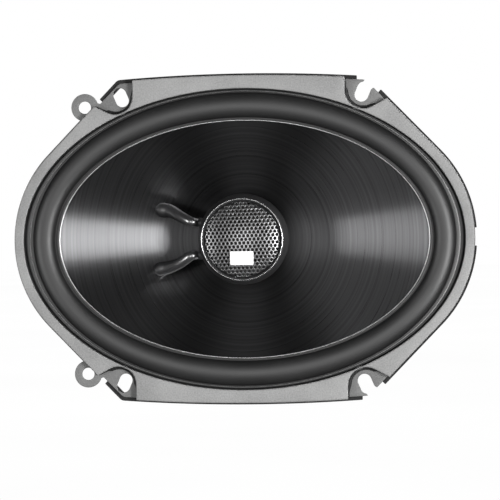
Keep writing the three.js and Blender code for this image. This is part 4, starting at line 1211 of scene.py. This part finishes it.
def boot():
    """Rubber cap over the back of the magnet, with a shallow step and ribs round its side."""
    outer, back, front = BOOT_HIGH.x, BOOT_LOW.z, BOOT_HIGH.z
    wall = 1.5
    ribs, first_rib, rib_pitch = 4, 4.0, 2.6
    side = [(outer - 0.5, back), (outer - 0.1, back + 3.0)]
    for i in range(ribs):
        z = back + first_rib + rib_pitch * i
        side += [(outer - 0.1, z), (outer - 0.55, z + 0.35), (outer - 0.55, z + 1.0), (outer - 0.1, z + 1.35)]
    profile = [
        (0.4, back + 0.9), (26.0, back + 0.9), (27.2, back), *side, (outer, front - 1.6), (outer, front),
        (outer - wall, front), (outer - wall, back + wall + 0.6), (0.4, back + wall + 0.6),
    ]
    finished("boot_cap", turned(profile, 160, 0.4), BOOT_RUBBER, ["magnet_boot"], 40)


def rivets():
    """Domed rivet heads on the motor plate."""
    base = BOTTOM[2] + 0.05
    outline = ((0.05, 0), (3.2, 0), (3.1, 0.5), (2.2, 1.1), (0.9, 1.3), (0.05, 1.32))
    points, faces = turned([(r, base + up) for r, up in outline], 40, 0.4)
    for i in range(1, 5):
        low, high = extent(f"motor_rivet_{i}")
        x, y = (low.x + high.x) / 2, (low.y + high.y) / 2
        net = [(px + x, py + y, pz) for px, py, pz in points], faces
        finished(f"rivet_head_{i}", net, ZINC, [f"motor_rivet_{i}"])


def post():
    """The column that carries the tweeter, flared at both ends."""
    low, high = extent("tweeter_post")
    bottom, top = low.z, high.z
    profile = [(2.3, bottom), (5.6, bottom), (5.0, bottom + 1.2), (5.0, top - 3.0), (8.0, top - 1.5)]
    profile += [(8.0, top), (2.3, top)]
    net = turned(profile, 64, 0.6)
    finished("post_column", net, BLACK_PLASTIC, ["tweeter_post"], 50)


# ---- Terminal board on the back of the left spoke ----

BOARD_X = -66.0
STANDOFF = 1.6
BOARD_WIDTH = 12
BOARD_LENGTH = 38
BOARD_THICKNESS = 1.4
TAB_Y = 13
RIVET_Y = 4
SLOPE = atan2(SKIRT_END - SHELF[2], SKIRT[0] - SHELF[0])
BOARD_FOOT = SKIRT_END - SHEET - (SKIRT[0] + SHEET + BOARD_X) * tan(SLOPE)
BOARD_PLACE = Matrix.Translation((BOARD_X, 0, BOARD_FOOT)) @ Matrix.Rotation(pi + SLOPE, 4, "Y")


def on_board(points):
    """Points drawn on a flat board moved to where the board sits."""
    return [BOARD_PLACE @ Vector(p) for p in points]


def terminals():
    """The board, its two rivets and the two tabs, each with the stub that holds it."""
    front = STANDOFF + BOARD_THICKNESS
    outline = rounded(rectangle(BOARD_WIDTH / 2, BOARD_LENGTH / 2), 1.5)
    places = ((TAB_Y, 1.4), (-TAB_Y, 1.4), (RIVET_Y, 1.6), (-RIVET_Y, 1.6))
    holes = [arc((0, y), r, 2 * pi, 0, 0.4)[:-1] for y, r in places]
    points, faces = plate([outline, *holes], STANDOFF, front, 0.15)
    finished("terminal_board_panel", (on_board(points), faces), BOARD, ["terminal_board"], 50)

    back, start, tip = front + GAP, 9.5, 28.0
    stub_profile = [
        (0.05, STANDOFF - 1.1), (2.2, STANDOFF - 1.1), (2.2, STANDOFF - 0.3), (1.2, STANDOFF - 0.3),
        (1.2, back + 1.2), (2.3, back + 1.2), (1.9, back + 1.9), (0.05, back + 2.0),
    ]
    stub, stub_faces = turned(stub_profile, 32, 0.2)
    for name, side, width in (("terminal_positive", 1, 6.3), ("terminal_negative", -1, 4.8)):
        half = width / 2
        shape = [(-half, start), (half, start), (half, tip - 1.6), (half - 1.0, tip)]
        shape += [(1.0 - half, tip), (-half, tip - 1.6)]
        outline = rounded([Vector(p) for p in shape], 0.3)
        if side < 0:
            outline = flipped(outline, 1, -1)
        dimple = arc((0, side * (tip - 4.5)), 0.8, 2 * pi, 0, 0.5)[:-1]
        points, faces = plate([outline, dimple], back, back + 0.8, 0.1)
        add(points, faces, [(x, y + side * TAB_Y, z) for x, y, z in stub], stub_faces)
        finished(f"{name}_tab", (on_board(points), faces), TINNED, [name], 40)

    rivet_profile = [
        (0.05, front + 1.5), (1.6, front + 1.4), (2.5, front + 0.8), (2.6, front + 0.1), (1.4, front + 0.1),
        (1.4, 0.3), (2.6, 0.3), (2.6, -0.4), (0.05, -0.4),
    ]
    points, faces = turned(rivet_profile, 32, 0.3)
    for label, side in (("upper", 1), ("lower", -1)):
        net = on_board([(x, y + side * RIVET_Y, z) for x, y, z in points]), faces
        node = f"board_rivet_{label}"
        finished(f"{node}_head", net, ZINC, [node])


def tinsel_leads():
    """Braided copper leads from the terminals to the backs of the eyelets."""
    strands, lay, twist, strand_radius = 3, 0.42, 0.55, 0.46
    for side, label in ((1, "upper"), (-1, "lower")):
        x, y, _, _ = EYELETS[label]
        start = BOARD_PLACE @ Vector((0, side * TAB_Y, STANDOFF - 1.1))
        end = cone_height(x, y) - CONE_WALL
        route = [
            start,
            start + Vector((2.2, 0, 1.0)),
            start + Vector((5.5, 0, 0.8)),
            start + Vector((12, 0, -1.8)),
            Vector((x - 9, (start.y + y) / 2, end - 4.6)),
            Vector((x - 2.4, y, end - 3.0)),
            Vector((x, y, end + 0.2)),
        ]
        path = spline(route, 24)
        points, faces = [], []
        for strand in range(strands):
            twisted = []
            for i, here in enumerate(path):
                ahead = way_along(path, i)
                one = ahead.cross(Vector((0, 1, 0))).normalized()
                angle = i * twist + strand * 2 * pi / strands
                twisted.append(here + (one * cos(angle) + ahead.cross(one) * sin(angle)) * lay)
            add(points, faces, *tube(twisted, [strand_radius] * len(twisted), 10))
        name = f"tinsel_lead_{label}"
        obj = finished(f"{name}_braid", (points, faces), BRAID, [name], 60, body=None)
        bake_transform(obj, BODY_FRAME, BODY_CONE, start=to_row(*route[2]), end=to_row(*route[5]))


# ---- Pieces that stay as the CAD has them get their material here ----

KEPT_LOOKS = {
    "coil_leadout_upper": COPPER, "coil_leadout_lower": COPPER, "voice_coil_winding": COPPER,
    "tweeter_voice_coil": COPPER, "voice_coil_former": FORMER, "dust_washer": FOAM,
    "back_plate_and_pole": ZINC, "tweeter_bolt": ZINC, "tweeter_nut": ZINC, "tweeter_cup": ZINC,
    "tweeter_pole_plate": ZINC, "tweeter_magnet": NICKEL, "tweeter_capacitor": NICKEL,
    "tweeter_frame": BLACK_PLASTIC, "tweeter_dome": SILK, "tweeter_surround": SILK,
}


def paint_kept_nodes():
    """Gives the CAD's own pieces their materials."""
    for name, look in KEPT_LOOKS.items():
        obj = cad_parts[name]
        obj.data.materials.clear()
        obj.data.materials.append(look)
        obj.data.shade_smooth()
        obj.data.set_sharp_from_angle(angle=radians(40))


# ---- Studio ----


def for_camera(tree, dim, shown, output):
    """Shows one shader to the camera and another to every other ray."""
    path = tree.nodes.new("ShaderNodeLightPath")
    mix = tree.nodes.new("ShaderNodeMixShader")
    for source, target in zip((path.outputs["Is Camera Ray"], dim.outputs[0], shown.outputs[0]), mix.inputs):
        tree.links.new(source, target)
    tree.links.new(mix.outputs[0], tree.nodes[output].inputs["Surface"])


def studio_floor():
    """A plain sheet: one even pale tone to the camera, and dim to every other ray."""
    look = Look("studio_floor")
    tone = look.noise(1.5, 2)
    shown = look.node("ShaderNodeEmission")
    look.join(look.colours(tone, (0.985, 0.985, 0.985), (1.0, 1.0, 1.0)), shown.inputs["Color"])
    dim = look.node("ShaderNodeBsdfDiffuse")
    look.join(look.colours(tone, (0.06, 0.06, 0.06), (0.08, 0.08, 0.08)), dim.inputs["Color"])
    for_camera(look.material.node_tree, dim, shown, "Material Output")
    reach, below = 12.0, 0.22
    height = CAD_LOW.z - below
    mesh = bpy.data.meshes.new("studio_floor")
    mesh.from_pydata([(*corner, height) for corner in rectangle(reach, reach)], [], [(0, 1, 2, 3)])
    mesh.materials.append(look.material)
    placed("studio_floor", mesh)


def studio_world():
    """White behind the object for the camera, and a dim even light for everything else."""
    world = bpy.data.worlds.new("studio")
    world.use_nodes = True
    shown = world.node_tree.nodes["Background"]
    dim = world.node_tree.nodes.new("ShaderNodeBackground")
    for light, strength in ((shown, 1.0), (dim, 0.04)):
        light.inputs["Color"].default_value = (1, 1, 1, 1)
        light.inputs["Strength"].default_value = strength
    for_camera(world.node_tree, dim, shown, "World Output")
    bpy.context.scene.world = world
    bpy.context.scene.view_settings.view_transform = "Standard"


SOFTBOXES = {  # place, width, height, power
    "softbox_right": ((0.72, -0.95, -0.02), 0.3, 0.48, 14),
    "softbox_right_low": ((0.7, -0.95, -0.24), 0.3, 0.2, 1.5),
    "softbox_left": ((-0.82, -0.82, -0.1), 0.3, 0.7, 6),
    "softbox_front": ((-0.1, -1.25, -0.02), 0.5, 0.45, 3.6),
    "softbox_back": ((0.5, 0.9, 0.5), 0.8, 0.8, 24),
    "softbox_back_left": ((-1.0, 0.8, 0.2), 0.6, 0.6, 10),
}


def softbox(name, spot, width, height, power):
    """An oval lamp that looks at the origin."""
    light = bpy.data.lights.new(name, "AREA")
    light.shape = "ELLIPSE"
    light.size, light.size_y = width, height
    light.energy = power
    obj = placed(name, light)
    obj.location = spot
    obj.rotation_mode = "QUATERNION"
    obj.rotation_quaternion = (-Vector(spot)).to_track_quat("-Z", "Y")


def studio_camera():
    """A long lens a little to the right of the axis and a little above it."""
    azimuth, elevation, roll = radians(4.5), radians(0.9), radians(-0.7)
    distance, lens = 1.0, 161.5
    aim = Vector((0.0025, 0, -0.0049))
    level = cos(elevation)
    back = Vector((sin(azimuth) * level, -cos(azimuth) * level, sin(elevation)))
    camera = bpy.data.cameras.new("camera")
    camera.lens = lens
    camera.clip_start = 0.01
    obj = placed("camera", camera)
    obj.location = aim + back * distance
    obj.rotation_mode = "QUATERNION"
    turn = (-back).to_track_quat("-Z", "Y")
    obj.rotation_quaternion = turn @ Matrix.Rotation(roll, 3, "Z").to_quaternion()
    bpy.context.scene.camera = obj


raised_face()
corner_plates()
basket_well()
gaskets()
surround()
cone()
spider()
eyelets()
tweeter_leads()
pod()
bezel()
grille()
badge()
motor()
boot()
rivets()
post()
terminals()
tinsel_leads()
paint_kept_nodes()
studio_floor()
studio_world()
for softbox_name, settings in SOFTBOXES.items():
    softbox(softbox_name, *settings)
studio_camera()
